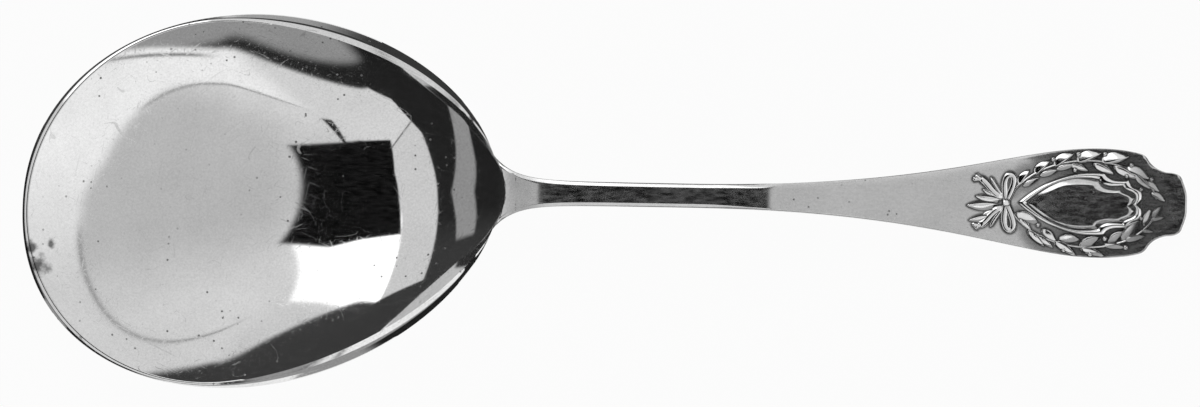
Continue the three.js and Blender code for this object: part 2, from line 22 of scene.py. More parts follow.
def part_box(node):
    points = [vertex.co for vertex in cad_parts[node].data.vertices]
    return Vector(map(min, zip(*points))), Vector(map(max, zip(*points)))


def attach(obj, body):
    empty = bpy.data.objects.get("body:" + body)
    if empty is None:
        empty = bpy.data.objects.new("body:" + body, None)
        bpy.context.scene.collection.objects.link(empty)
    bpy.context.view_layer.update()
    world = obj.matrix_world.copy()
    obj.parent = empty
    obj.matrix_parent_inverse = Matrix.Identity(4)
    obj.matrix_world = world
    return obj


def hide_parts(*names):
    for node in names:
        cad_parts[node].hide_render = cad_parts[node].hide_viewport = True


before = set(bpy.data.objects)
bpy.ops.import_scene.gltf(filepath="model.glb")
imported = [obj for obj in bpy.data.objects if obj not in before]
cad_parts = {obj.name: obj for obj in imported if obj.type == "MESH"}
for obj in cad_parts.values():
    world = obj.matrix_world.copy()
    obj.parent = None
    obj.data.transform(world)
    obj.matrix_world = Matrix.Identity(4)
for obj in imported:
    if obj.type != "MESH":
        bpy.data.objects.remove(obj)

LOG = logging.getLogger("preserve_spoon")
MM = 0.001
BODY = "root"
MERGE = 2e-6
COLLAPSED = 0.25
TINY = 1e-6
SHARP_ANGLE = math.radians(50)
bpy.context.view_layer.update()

Material = bpy.types.Material
Mesh = bpy.types.Mesh
Socket = bpy.types.NodeSocket
Value = Union[float, bpy.types.NodeSocket]
Number = Union[float, np.ndarray]
Place = tuple[float, float]
Stretch = tuple[float, float, float, float]


class Slot(Enum):
    """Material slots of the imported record."""

    POLISHED = "polished_silver"
    CHASED = "chased_silver"


class Side(Enum):
    """Sides of the spoon as it is held, bowl pointing away, and their sign across the handle."""

    LEFT = -1
    RIGHT = 1


class Ends(Enum):
    """How a body that runs through rings ends."""

    PINCHED = "both end rings close on themselves"
    FIRST_CAPPED = "a face closes the first ring"
    CAPPED = "a face closes each end ring"
    JOINED = "the last ring runs back into the first"


def smoothstep(value: Number, start: float, end: float) -> np.ndarray:
    """Eases from 0 at start to 1 at end."""
    share = np.clip((np.asarray(value, float) - start) / (end - start), 0, 1)
    return share * share * (3 - 2 * share)


def lerp(start: Number, end: Number, share: Number) -> Number:
    """Goes from start to end by a share."""
    return start + (end - start) * share


def bezier(points: Sequence[Place], steps: int) -> np.ndarray:
    """Points along a Bezier curve.

    Args:
        points: Its control points.
        steps: How many stretches it is cut into.

    Returns:
        An array of steps + 1 points.
    """
    share = np.linspace(0, 1, steps + 1)[:, None]
    layer = [np.array(point, float) for point in points]
    while len(layer) > 1:
        layer = [lerp(a, b, share) for a, b in zip(layer, layer[1:])]
    return layer[0]


def smooth_line(stops: np.ndarray, steps: int) -> np.ndarray:
    """Smooth line through plan places.

    Args:
        stops: The places.
        steps: Stretches between two of them.

    Returns:
        Points along the line, a Catmull-Rom curve.
    """
    padded = np.concatenate([[2 * stops[0] - stops[1]], stops, [2 * stops[-1] - stops[-2]]])
    share = np.linspace(0, 1, steps + 1)[:-1, None]
    runs = []
    for a, b, c, d in zip(padded, padded[1:], padded[2:], padded[3:]):
        bend = 2 * a - 5 * b + 4 * c - d
        twist = 3 * b - a - 3 * c + d
        runs.append(b + share * ((c - a) + share * (bend + share * twist)) / 2)
    return np.concatenate(runs + [stops[-1:]])


def ring_faces(rings: np.ndarray, ends: Ends) -> list[list[int]]:
    """Faces of a body that runs through rings of equal length.

    Args:
        rings: Array of rings, each a closed loop of points.
        ends: How the body ends.

    Returns:
        Lists of point numbers, counted through all rings.
    """
    count, around = rings.shape[:2]
    corner = np.arange(count * around).reshape(count, around)
    ahead = np.roll(corner, -1, axis=1)
    quads = np.stack([corner, ahead, np.roll(ahead, -1, axis=0), np.roll(corner, -1, axis=0)], axis=-1)
    faces = (quads if ends is Ends.JOINED else quads[:-1]).reshape(-1, 4).tolist()
    if ends in (Ends.FIRST_CAPPED, Ends.CAPPED):
        faces.append(corner[0][::-1].tolist())
    if ends is Ends.CAPPED:
        faces.append(corner[-1].tolist())
    return faces


def closed_mesh(name: str, points: np.ndarray, faces: list[list[int]], merge: float = MERGE) -> Mesh:
    """Mesh with doubles merged, collapsed faces dropped and all faces turned outwards.

    Args:
        name: The mesh's name.
        points: Its points.
        faces: Lists of point numbers.
        merge: Distance under which points are one.

    Returns:
        The mesh.
    """
    mesh = bpy.data.meshes.new(name)
    mesh.from_pydata(points.tolist(), [], faces)
    work = bmesh.new()
    work.from_mesh(mesh)
    bmesh.ops.remove_doubles(work, verts=work.verts[:], dist=merge)
    bmesh.ops.dissolve_degenerate(work, edges=work.edges[:], dist=merge * COLLAPSED)
    bmesh.ops.recalc_face_normals(work, faces=work.faces[:])
    work.to_mesh(mesh)
    work.free()
    return mesh


def mesh_points(mesh: Mesh) -> np.ndarray:
    """Points of a mesh.

    Args:
        mesh: The mesh.

    Returns:
        An array with one row each.
    """
    points = np.empty(len(mesh.vertices) * 3)
    mesh.vertices.foreach_get("co", points)
    return points.reshape(-1, 3)


@dataclass(frozen=True)
class Egg:
    """Superellipse egg with its widest place between a tip end and a heel end."""

    widest: float
    tip_reach: float
    heel_reach: float
    half_width: float
    tip_fullness: float
    heel_fullness: float

    def half(self, x: np.ndarray) -> np.ndarray:
        """Half width of the egg.

        Args:
            x: Places along it.

        Returns:
            The half width at each place, 0 past the ends.
        """
        x = np.asarray(x, float)
        heelwards = x > self.widest
        reach = np.where(heelwards, self.heel_reach, self.tip_reach)
        fullness = np.where(heelwards, self.heel_fullness, self.tip_fullness)
        share = np.clip(np.abs(x - self.widest) / reach, 0, 1)
        return self.half_width * (1 - share**fullness) ** (1 / fullness)


@dataclass(frozen=True)
class SpoonForm:
    """Sizes and faces that the bowl, the stem and the blade share."""

    tip: float
    axis: float
    length: float
    bowl_joint: float
    blade_joint: float
    arch_height: float
    bowl_width: float = 59.08
    bowl_tip_reach: float = 35.0
    bowl_heel_reach: float = 40.5
    bowl_tip_fullness: float = 2.15
    bowl_heel_fullness: float = 1.85
    bowl_lean: float = 4.2
    bowl_lean_length: float = 70.0
    rim_at_tip: float = 0.6
    rim_at_side: float = 0.85
    hollow_widest_shift: float = 4.0
    hollow_heel_overrun: float = 0.9
    hollow_tip_fullness: float = 2.0
    hollow_heel_fullness: float = 1.7
    bowl_depth: float = 8.5
    tip_rise: float = 1.5
    dishing_to_sides: float = 2.2
    dishing_to_tip: float = 1.65
    dishing_to_heel: float = 2.0
    floor_thickness: float = 1.6
    deepest_from_heel: float = 21.5
    stem_width: float = 3.8
    stem_thickness: float = 3.3
    blade_width: float = 17.3
    blade_thickness: float = 2.4
    root_spread: float = 4.5
    root_fade: float = 3.2
    root_before_heel: float = 1.5
    arch_from_heel: float = 34.0
    arch_fullness: float = 5.0
    fall_ramp: float = 20.0
    fall_ease: float = 57.0
    end_slope: float = 0.035
    end_thickness: float = 2.0
    narrowest_from_heel: float = 30.0
    swell_start_pull: float = 39.5
    swell_end_pull: float = 13.3
    widest_from_end: float = 14.0
    shoulder_pull: float = 0.55
    ear_from_end: float = 7.9
    ear_width: float = 16.1
    ear_round: float = 1.7
    ear_drop: float = 1.1
    ear_pull: Place = (0.7, 0.2)
    scoop_pull: Place = (0.3, 0.2)
    tab_width: float = 10.1
    tab_length: float = 3.2
    tab_round: float = 1.4
    tab_end_bulge: float = 0.7
    tab_corner_pull: float = 0.4
    tab_end_pull: float = 0.55
    tab_tip_width: float = 1.8
    ornament_shift: float = -0.12
    swell_steps: int = 360
    end_steps: int = 14

    @classmethod
    def from_frame(cls) -> "SpoonForm":
        """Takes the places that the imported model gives.

        Returns:
            The spoon.
        """
        bowl_low, bowl_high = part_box("bowl")
        stem_low, stem_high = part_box("stem")
        blade_low, blade_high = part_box("handle_blade")
        tip = bowl_low.x / MM
        return cls(
            tip=tip,
            axis=(stem_low.y + stem_high.y) / 2 / MM,
            length=blade_high.x / MM - tip,
            bowl_joint=bowl_high.x / MM - tip,
            blade_joint=blade_low.x / MM - tip,
            arch_height=stem_high.z / MM,
        )

    @property
    def heel(self) -> float:
        """Where the bowl's egg ends."""
        return self.bowl_tip_reach + self.bowl_heel_reach

    @property
    def hollow_end(self) -> float:
        """Where the hollow ends at the heel."""
        return self.heel + self.hollow_heel_overrun

    @property
    def deepest(self) -> float:
        """Where the hollow is deepest."""
        return self.heel - self.deepest_from_heel

    @property
    def arch(self) -> float:
        """Where the stem stands highest."""
        return self.heel + self.arch_from_heel

    @property
    def rim_height(self) -> float:
        """Height of the rim along the bowl's sides."""
        return self.floor_thickness + self.bowl_depth

    @property
    def outer_egg(self) -> Egg:
        """Outline of the bowl."""
        reach, fullness = self.bowl_tip_reach, (self.bowl_tip_fullness, self.bowl_heel_fullness)
        return Egg(reach, reach, self.bowl_heel_reach, self.bowl_width / 2, *fullness)

    @property
    def hollow_egg(self) -> Egg:
        """Outline of the hollow, along the crest of the rim.

        Returns:
            The egg.
        """
        widest = self.bowl_tip_reach - self.hollow_widest_shift
        half = self.bowl_width / 2 - self.rim_at_side
        fullness = (self.hollow_tip_fullness, self.hollow_heel_fullness)
        return Egg(widest, widest - self.rim_at_tip, self.hollow_end - widest, half, *fullness)

    def middle(self, x: np.ndarray) -> np.ndarray:
        """Sideways place of the bowl's middle line."""
        return -self.bowl_lean * np.maximum(0, 1 - np.asarray(x, float) / self.bowl_lean_length)

    def crest(self, x: np.ndarray) -> np.ndarray:
        """Height of the rim's crest, which climbs towards the tip."""
        tipwards = np.maximum(0, 1 - np.asarray(x, float) / self.bowl_tip_reach)
        return self.rim_height + self.tip_rise * tipwards**2

    def hollow(self, x: np.ndarray, y: np.ndarray) -> np.ndarray:
        """Height of the hollow.

        Args:
            x: Plan places along the spoon.
            y: The same places across it.

        Returns:
            The height at each place.
        """
        x = np.asarray(x, float)
        tipwards = x < self.deepest
        rim = np.where(tipwards, self.rim_at_tip, self.hollow_end)
        dishing = np.where(tipwards, self.dishing_to_tip, self.dishing_to_heel)
        along = np.maximum(0, (x - self.deepest) / (rim - self.deepest)) ** dishing
        floor = lerp(self.floor_thickness, self.crest(rim), along)
        half = np.maximum(self.hollow_egg.half(x), TINY)
        across = np.minimum(np.abs(y - self.middle(x)) / half, 1) ** self.dishing_to_sides
        return lerp(floor, self.crest(x), across)

    def outline(self) -> np.ndarray:
        """Half outline of the handle.

        Returns:
            Plan places from the narrowest one round the handle's end to its axis.
        """
        end = self.length
        stem, blade = self.stem_width / 2, self.blade_width / 2
        ear, tab, tab_tip = self.ear_width / 2, self.tab_width / 2, self.tab_tip_width / 2
        narrowest = self.heel + self.narrowest_from_heel
        widest = end - self.widest_from_end
        ear_x, tab_x = end - self.ear_from_end, end - self.tab_length
        ear_end = (ear_x + self.ear_round, ear - self.ear_drop)
        tab_end = (end - self.tab_end_bulge, tab - self.tab_round)
        ear_pull = (lerp(ear_x, ear_end[0], self.ear_pull[0]), ear - self.ear_drop * self.ear_pull[1])
        scoop_pull = (
            lerp(ear_end[0], tab_x, self.scoop_pull[0]), lerp(tab, ear_end[1], self.scoop_pull[1])
        )
        swell = [
            (narrowest, stem),
            (narrowest + self.swell_start_pull, stem),
            (widest - self.swell_end_pull, blade),
            (widest, blade),
        ]
        terminal = [
            [(widest, blade), (lerp(widest, ear_x, self.shoulder_pull), blade), (ear_x, ear)],
            [(ear_x, ear), ear_pull, ear_end],
            [ear_end, scoop_pull, (tab_x, tab)],
            [(tab_x, tab), (tab_end[0] - self.tab_end_bulge * self.tab_corner_pull, tab), tab_end],
            [tab_end, (end, tab_end[1] * self.tab_end_pull), (end, tab_tip)],
            [(end, tab_tip), (end, tab_tip / 2), (end, 0)],
        ]
        runs = [bezier(curve, self.end_steps)[1:] for curve in terminal]
        return np.concatenate([bezier(swell, self.swell_steps)] + runs)

    def handle_half(self, x: np.ndarray) -> np.ndarray:
        """Half width of the handle, with the root that spreads to meet the bowl.

        Args:
            x: Places along the spoon.

        Returns:
            The half width at each place.
        """
        x = np.asarray(x, float)
        line = self.outline()
        past_root = np.maximum(0, x - self.heel + self.root_before_heel)
        root = self.root_spread * np.exp(-past_root / self.root_fade)
        return np.interp(x, line[:, 0], line[:, 1]) + root

    @staticmethod
    def ramped_length(length: np.ndarray, ramp: float) -> np.ndarray:
        """Length covered at a pace that grows smoothly from nothing to one over a ramp."""
        share = np.clip(length / ramp, 0, 1)
        return ramp * (share**3 - share**4 / 2) + np.maximum(0, length - ramp)

    def handle_top(self, x: np.ndarray) -> np.ndarray:
        """Height of the handle's upper face: a rise to the arch, then a long fall that eases off.

        Args:
            x: Places along the spoon.

        Returns:
            The height at each place.
        """
        x = np.asarray(x, float)
        drop = self.arch_height - self.end_thickness - self.end_slope * self.fall_ease / 2
        steepest = drop / (self.length - self.arch - (self.fall_ramp + self.fall_ease) / 2)
        fall = steepest * self.ramped_length(x - self.arch, self.fall_ramp)
        easing = self.ramped_length(x - self.length + self.fall_ease, self.fall_ease)
        before = np.maximum(0, (self.arch - x) / (self.arch - self.hollow_end))
        rise = (self.arch_height - self.rim_height) * before**self.arch_fullness
        eased_fall = fall - (steepest - self.end_slope) * easing
        return self.arch_height - np.where(x < self.arch, rise, eased_fall)

    def handle_bottom(self, x: np.ndarray) -> np.ndarray:
        """Height of the handle's lower face, worn flat where its end lies on the table.

        Args:
            x: Places along the spoon.

        Returns:
            The height at each place.
        """
        widest = self.length - self.widest_from_end
        swell = smoothstep(x, self.arch, widest)
        thickness = lerp(self.stem_thickness, self.blade_thickness, swell)
        return np.maximum(0, self.handle_top(x) - thickness)

    def placed(self, points: np.ndarray) -> np.ndarray:
        """Spoon millimetres turned into frame metres."""
        return (np.asarray(points, float) + (self.tip, self.axis, 0)) * MM


class Piece:
    """One visible piece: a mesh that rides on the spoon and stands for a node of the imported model."""

    def __init__(self, name: str, mesh: Mesh, slot: Slot, material: Material) -> None:
        """Links the mesh into the scene, names it after the node that it stands for and hides that node.

        Args:
            name: The node that it replaces.
            mesh: Its finished mesh, in frame metres.
            slot: Not used.
            material: Its Blender material.
        """
        mesh.name = f"{name}_surface"
        mesh.materials.clear()
        mesh.materials.append(material)
        mesh.polygons.foreach_set("use_smooth", [True] * len(mesh.polygons))
        mesh.set_sharp_from_angle(angle=SHARP_ANGLE)
        self.piece = bpy.data.objects.new(f"{name}_dressed", mesh)
        bpy.context.scene.collection.objects.link(self.piece)
        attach(self.piece, BODY)
        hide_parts(name)
        LOG.info("%s: %d faces", name, len(mesh.polygons))


@dataclass(frozen=True)
class EdgeBevel:
    """Worn edge between a top face and a side: a superellipse drop."""

    width: float
    drop: float
    fullness: float

    def fall(self, inset: np.ndarray) -> np.ndarray:
        """Drop below the face at a distance in from the side."""
        share = np.clip(1 - np.asarray(inset, float) / self.width, 0, 1)
        return self.drop * (1 - (1 - share**self.fullness) ** (1 / self.fullness))


@dataclass(frozen=True)
class WornEdges:
    """Upper edges of the handle: broad on the right side, slim on the left one."""

    form: SpoonForm
    corner_width: float = 0.3
    corner_fullness: float = 2.0
    stem_right: float = 0.75
    blade_right: float = 1.8
    ear_right: float = 0.55
    right_slope: Place = (0.3, 0.1)
    right_fullness: Place = (1.25, 1.6)
    stem_left: float = 0.68
    left_drop: Place = (0.26, 0.3)
    left_fullness: float = 1.13
    swell_from_joint: Place = (-10.0, 30.0)
    ear_from_end: Place = (-28.0, -15.0)
    slope_from_arch: Place = (5.0, 11.0)
    left_from_arch: Place = (-2.0, 14.0)

    @staticmethod
    def share(x: float, origin: float, run: Place) -> float:
        """Smooth step over a run that is given from an origin."""
        return float(smoothstep(x, origin + run[0], origin + run[1]))

    def at(self, x: float, side: Side, facing: float = 1.0) -> EdgeBevel:
        """Edge at one place along the handle.

        Args:
            x: The place.
            side: The side; the right one is worn broader.
            facing: How squarely the edge faces that side, 0 where it faces the handle's end.

        Returns:
            The edge.
        """
        form = self.form
        if side is Side.RIGHT:
            swell = self.share(x, form.blade_joint, self.swell_from_joint)
            broad = lerp(self.stem_right, self.blade_right, swell)
            broad = lerp(broad, self.ear_right, self.share(x, form.length, self.ear_from_end))
            width = lerp(self.corner_width, broad, facing)
            slope = lerp(*self.right_slope, self.share(x, form.arch, self.slope_from_arch))
            fullness = lerp(self.corner_fullness, lerp(*self.right_fullness, swell), facing)
            return EdgeBevel(width, width * lerp(1.0, slope, facing), fullness)
        slim = self.share(x, form.arch, self.left_from_arch)
        width = lerp(self.corner_width, lerp(self.stem_left, self.corner_width, slim), facing)
        return EdgeBevel(
            width, lerp(*self.left_drop, slim), lerp(self.left_fullness, self.corner_fullness, slim)
        )

    def root_face(self, x: np.ndarray, y: np.ndarray) -> np.ndarray:
        """Height of the handle's upper face near its root, edges included.

        Args:
            x: Plan places along the spoon.
            y: The same places across it.

        Returns:
            The height at each place.
        """
        half = self.form.handle_half(x)
        right = self.at(self.form.bowl_joint, Side.RIGHT).fall(np.maximum(half - y, 0))
        left = self.at(self.form.bowl_joint, Side.LEFT).fall(np.maximum(half + y, 0))
        return self.form.handle_top(x) - right - left


@dataclass(frozen=True)
class Bowl:
    """Broad egg-shaped bowl with its rim and the root of the stem."""

    form: SpoonForm
    rim_inner_slope: float = 0.3
    rim_outer_slope: float = 0.8
    rim_turn: Place = (0.42, 0.6)
    rim_land: float = 0.5
    rim_start: float = 0.03
    side_shares: Place = (0.35, 0.8)
    under_edge: float = 0.15
    heel_blend: float = 6.0
    rest_spot_radius: float = 4.0
    tip_steps: int = 64
    heel_steps: int = 84
    joint_steps: int = 10
    hollow_rings: int = 60
    hollow_crowding: float = 1.25
    rim_rings: int = 16
    rim_samples: int = 80
    under_rings: int = 40
    halvings: int = 34

    def outline(self) -> np.ndarray:
        """Plan outline of the bowl with the joint to the stem.

        Returns:
            Plan places, anticlockwise.
        """
        form = self.form
        tip = form.bowl_tip_reach * (1 - np.cos(np.linspace(0, math.pi / 2, self.tip_steps + 1)))
        heel_share = np.sin(np.linspace(0, math.pi / 2, self.heel_steps + 1)[1:])
        stations = np.concatenate([tip, lerp(form.bowl_tip_reach, form.bowl_joint, heel_share)])
        egg = form.outer_egg.half(stations)
        spread = np.maximum(egg, form.handle_half(stations))
        half = np.where(stations > form.bowl_tip_reach, spread, egg)
        right = np.stack([stations, form.middle(stations) + half], axis=1)
        left = np.stack([stations, form.middle(stations) - half], axis=1)[1:]
        joint_half = float(form.handle_half(form.bowl_joint))
        joint_y = np.linspace(-joint_half, joint_half, self.joint_steps + 1)[1:-1]
        joint = np.stack([np.full_like(joint_y, form.bowl_joint), joint_y], axis=1)
        return np.concatenate([right[::-1], left, joint])

    def hollow_share(self, outline: np.ndarray, centre: np.ndarray) -> np.ndarray:
        """Share of each ray from the deepest point that lies in the hollow.

        Args:
            outline: Plan places where the rays end.
            centre: Plan place of the deepest point.

        Returns:
            One share for each ray, found by halving.
        """
        form = self.form
        inside = np.zeros(len(outline))
        outside = np.ones(len(outline))
        for _ in range(self.halvings):
            share = (inside + outside) / 2
            place = centre + (outline - centre) * share[:, None]
            across = np.abs(place[:, 1] - form.middle(place[:, 0]))
            within = (place[:, 0] < form.hollow_end) & (across < form.hollow_egg.half(place[:, 0]))
            inside = np.where(within, share, inside)
            outside = np.where(within, outside, share)
        return inside

    def heel_share(self, x: np.ndarray) -> np.ndarray:
        """How far the rim has run into the handle."""
        return smoothstep(x, self.form.heel - self.heel_blend, self.form.bowl_joint)

    def rings(self) -> np.ndarray:
        """Rings from the deepest point up the hollow, over the rim and back underneath.

        Returns:
            Array of rings of spoon points.
        """
        form = self.form
        outline = self.outline()
        centre = np.array([form.deepest, float(form.middle(form.deepest))])
        ray = outline - centre
        reach = np.hypot(ray[:, 0], ray[:, 1])
        hollow = self.hollow_share(outline, centre)
        edge = centre + ray * hollow[:, None]
        crest = form.hollow(edge[:, 0], edge[:, 1])
        rim_width = reach * (1 - hollow)
        rim_edge = crest - self.rim_fall(1.0) * rim_width
        joint_bottom = form.handle_bottom(form.bowl_joint)
        bottom = lerp(rim_edge - self.rim_land, joint_bottom, self.heel_share(outline[:, 0]))
        rings = []
        for share in 1 - (1 - np.linspace(0, 1, self.hollow_rings + 1)) ** self.hollow_crowding:
            place = centre + ray * (hollow * share)[:, None]
            rings.append((place, form.hollow(place[:, 0], place[:, 1])))
        for share in np.concatenate([[self.rim_start], np.linspace(0, 1, self.rim_rings + 1)[1:]]):
            place = edge + (outline - edge) * share
            rings.append((place, self.rim_height(place, crest, rim_width, share)))
        side_top = rings[-1][1]
        for share in self.side_shares:
            rings.append((outline, lerp(side_top, bottom, share)))
        spot = self.rest_spot_radius / reach
        for share in np.linspace(1, 0, self.under_rings + 1):
            inner = centre + ray * (hollow * share)[:, None]
            rise = form.hollow(inner[:, 0], inner[:, 1]) - form.floor_thickness
            out = lerp(spot, 1, share)
            if share == 1:
                out = out * (1 - self.under_edge / reach)
            rings.append((centre + ray * out[:, None], bottom * rise / (crest - form.floor_thickness)))
        rings.append((np.repeat(centre[None], len(outline), axis=0), np.zeros(len(outline))))
        return np.stack([np.concatenate([place, height[:, None]], axis=1) for place, height in rings])

    def rim_fall(self, share: float) -> float:
        """Drop of the rim's face below its crest: a flat run, then a steeper one.

        Args:
            share: How far out over the rim.

        Returns:
            The drop as a share of the rim's width.
        """
        turn = smoothstep(np.linspace(0, share, self.rim_samples), *self.rim_turn)
        slope = lerp(self.rim_inner_slope, self.rim_outer_slope, turn)
        return float(np.mean(slope) * share)

    def rim_height(self, place: np.ndarray, crest: np.ndarray, width: np.ndarray, share: float) -> np.ndarray:
        """Height of the rim's sloping face, which runs into the handle's upper face at the heel.

        Args:
            place: Plan places on the rim.
            crest: Height of the rim's crest beside each place.
            width: Width of the rim there.
            share: How far out over the rim the places are.

        Returns:
            The height at each place.
        """
        rim = crest - self.rim_fall(share) * width
        handle = WornEdges(self.form).root_face(place[:, 0], place[:, 1])
        return lerp(rim, handle, self.heel_share(place[:, 0]))

    def build(self, material: Material) -> Piece:
        """Makes the bowl.

        Args:
            material: Its finish.

        Returns:
            The piece.
        """
        rings = self.rings()
        points = self.form.placed(rings.reshape(-1, 3))
        mesh = closed_mesh("rings", points, ring_faces(rings, Ends.PINCHED))
        return Piece("bowl", mesh, Slot.POLISHED, material)


@dataclass(frozen=True)
class Handle:
    """Stem and blade: rows of points across the handle, with worn edges."""

    form: SpoonForm
    stem_stations: int = 150
    station_crowding: float = 1.2
    stem_across: int = 14
    blade_across: int = 36
    edge_steps: int = 8
    edge_share: float = 0.9
    facing_side: Place = (0.35, 0.9)
    round_under: float = 0.4
    least_thickness: float = 0.2
    spine_end_from_end: float = 12.0
    first_step: float = 0.1

    def half_row(
        self, edge: np.ndarray, inward: np.ndarray, spine: float, side: Side, across: int
    ) -> tuple[list, list]:
        """Points from one edge of the handle in to its spine.

        Args:
            edge: Plan place on the right edge.
            inward: Plan direction square to that edge.
            spine: Where the row meets the axis.
            side: The side that the row is for.
            across: Points between the worn edge and the spine.

        Returns:
            Points on the upper face and on the lower face, both from the edge inwards.
        """
        form = self.form
        facing = float(smoothstep(-inward[1], *self.facing_side))
        bevel = WornEdges(form).at(edge[0], side, facing)
        reach = np.hypot(edge[0] - spine, edge[1])
        width = min(bevel.width, reach * self.edge_share)
        insets = width * (1 - np.cos(np.linspace(0, math.pi / 2, self.edge_steps + 1)))
        plan = [edge + inward * inset for inset in insets]
        last, axis = plan[-1], np.array([spine, 0.0])
        plan += [lerp(last, axis, share) for share in np.linspace(0, 1, across + 1)[1:]]
        level = np.zeros(across)
        fall = np.concatenate([bevel.fall(insets * bevel.width / width), level])
        inner = np.minimum(insets / width, 1)
        lift = np.concatenate([self.round_under * (1 - np.sqrt(1 - (1 - inner) ** 2)), level])
        turn = np.array([1, side.value])
        upper, lower = [], []
        for place, drop, climb in zip(plan, fall, lift):
            x, y = place * turn
            top = float(form.handle_top(place[0])) - drop
            bottom = float(form.handle_bottom(place[0])) + climb
            upper.append((x, y, top))
            lower.append((x, y, min(bottom, top - self.least_thickness)))
        return upper, lower

    def row(self, edge: np.ndarray, inward: np.ndarray, spine: float, across: int) -> list:
        """Closed row round the handle at one place of its edge.

        Args:
            edge: Plan place on the right edge.
            inward: Plan direction square to that edge.
            spine: Where the row meets the axis.
            across: Points between a worn edge and the spine.

        Returns:
            Spoon points in a loop.
        """
        right_top, right_bottom = self.half_row(edge, inward, spine, Side.RIGHT, across)
        left_top, left_bottom = self.half_row(edge, inward, spine, Side.LEFT, across)
        return right_top + left_top[-2::-1] + left_bottom + right_bottom[-2::-1]

    def rows(self, stations: np.ndarray, spine_end: float, across: int) -> np.ndarray:
        """Rows along the handle.

        Args:
            stations: Plan places along the right edge.
            spine_end: How far the spine goes.
            across: Points between a worn edge and the spine.

        Returns:
            Array of rows of spoon points.
        """
        ahead = np.gradient(stations, axis=0)
        ahead /= np.linalg.norm(ahead, axis=1)[:, None]
        inward = np.stack([ahead[:, 1], -ahead[:, 0]], axis=1)
        inward[0] = (0, -1)
        spines = np.minimum(stations[:, 0], spine_end)
        return np.array([self.row(*each, across) for each in zip(stations, inward, spines)])

    def dress(self, name: str, rows: np.ndarray, ends: Ends, material: Material) -> Piece:
        """Makes a piece of the handle from its rows.

        Args:
            name: The node that it replaces.
            rows: Array of rows of spoon points.
            ends: How the piece ends.
            material: Its finish.

        Returns:
            The piece.
        """
        mesh = closed_mesh("rows", self.form.placed(rows.reshape(-1, 3)), ring_faces(rows, ends))
        return Piece(name, mesh, Slot.POLISHED, material)

    def build_stem(self, material: Material) -> Piece:
        """Makes the stem, from the bowl's root to the blade.

        Args:
            material: Its finish.

        Returns:
            The piece.
        """
        form = self.form
        share = np.linspace(0, 1, self.stem_stations + 1) ** self.station_crowding
        x = lerp(form.bowl_joint, form.blade_joint, share)
        stations = np.stack([x, form.handle_half(x)], axis=1)
        rows = self.rows(stations, form.length, self.stem_across)
        rows[-1] = self.row(stations[-1], np.array([0.0, -1.0]), float(x[-1]), self.stem_across)
        return self.dress("stem", rows, Ends.CAPPED, material)

    def build_blade(self, material: Material) -> Piece:
        """Makes the blade, with its ears and tab.

        Args:
            material: Its finish.

        Returns:
            The piece.
        """
        form = self.form
        line = form.outline()
        beyond = line[line[:, 0] > form.blade_joint + self.first_step]
        start = (form.blade_joint, float(form.handle_half(form.blade_joint)))
        stations = np.concatenate([[start], beyond])
        rows = self.rows(stations, form.length - self.spine_end_from_end, self.blade_across)
        return self.dress("handle_blade", rows, Ends.FIRST_CAPPED, material)


class Relief:
    """Mesh builder for ornament that lies draped on the handle's upper face."""

    def __init__(self, form: SpoonForm) -> None:
        """Starts an empty relief.

        Args:
            form: The spoon that carries it.
        """
        self.form = form
        self.points: list[np.ndarray] = []
        self.faces: list[list[int]] = []
        self.count = 0

    def add(self, points: np.ndarray, faces: list[list[int]]) -> None:
        """Adds a body.

        Args:
            points: Spoon points, with heights above the handle's face.
            faces: Lists of point numbers.
        """
        self.points.append(np.asarray(points, float))
        self.faces += [[corner + self.count for corner in face] for face in faces]
        self.count += len(points)

    def add_rings(self, rings: np.ndarray, ends: Ends) -> None:
        """Adds a body that runs through rings of equal length."""
        self.add(rings.reshape(-1, 3), ring_faces(rings, ends))

    def add_mesh(self, mesh: Mesh) -> None:
        """Adds a mesh that is in spoon millimetres."""
        self.add(mesh_points(mesh), [list(face.vertices) for face in mesh.polygons])

    def finish(self, name: str, slot: Slot, material: Material) -> Piece:
        """Drapes the relief and makes it a piece.

        Args:
            name: The node that it replaces.
            slot: The record's finish.
            material: Its Blender material.

        Returns:
            The piece.
        """
        points = np.concatenate(self.points)
        points[:, 2] += self.form.handle_top(points[:, 0])
        return Piece(name, closed_mesh("relief", self.form.placed(points), self.faces), slot, material)


def raised(loop: np.ndarray, height: Number) -> np.ndarray:
    """Plan places lifted to a height above the handle."""
    return np.concatenate([loop, np.broadcast_to(height, len(loop))[:, None]], axis=1)


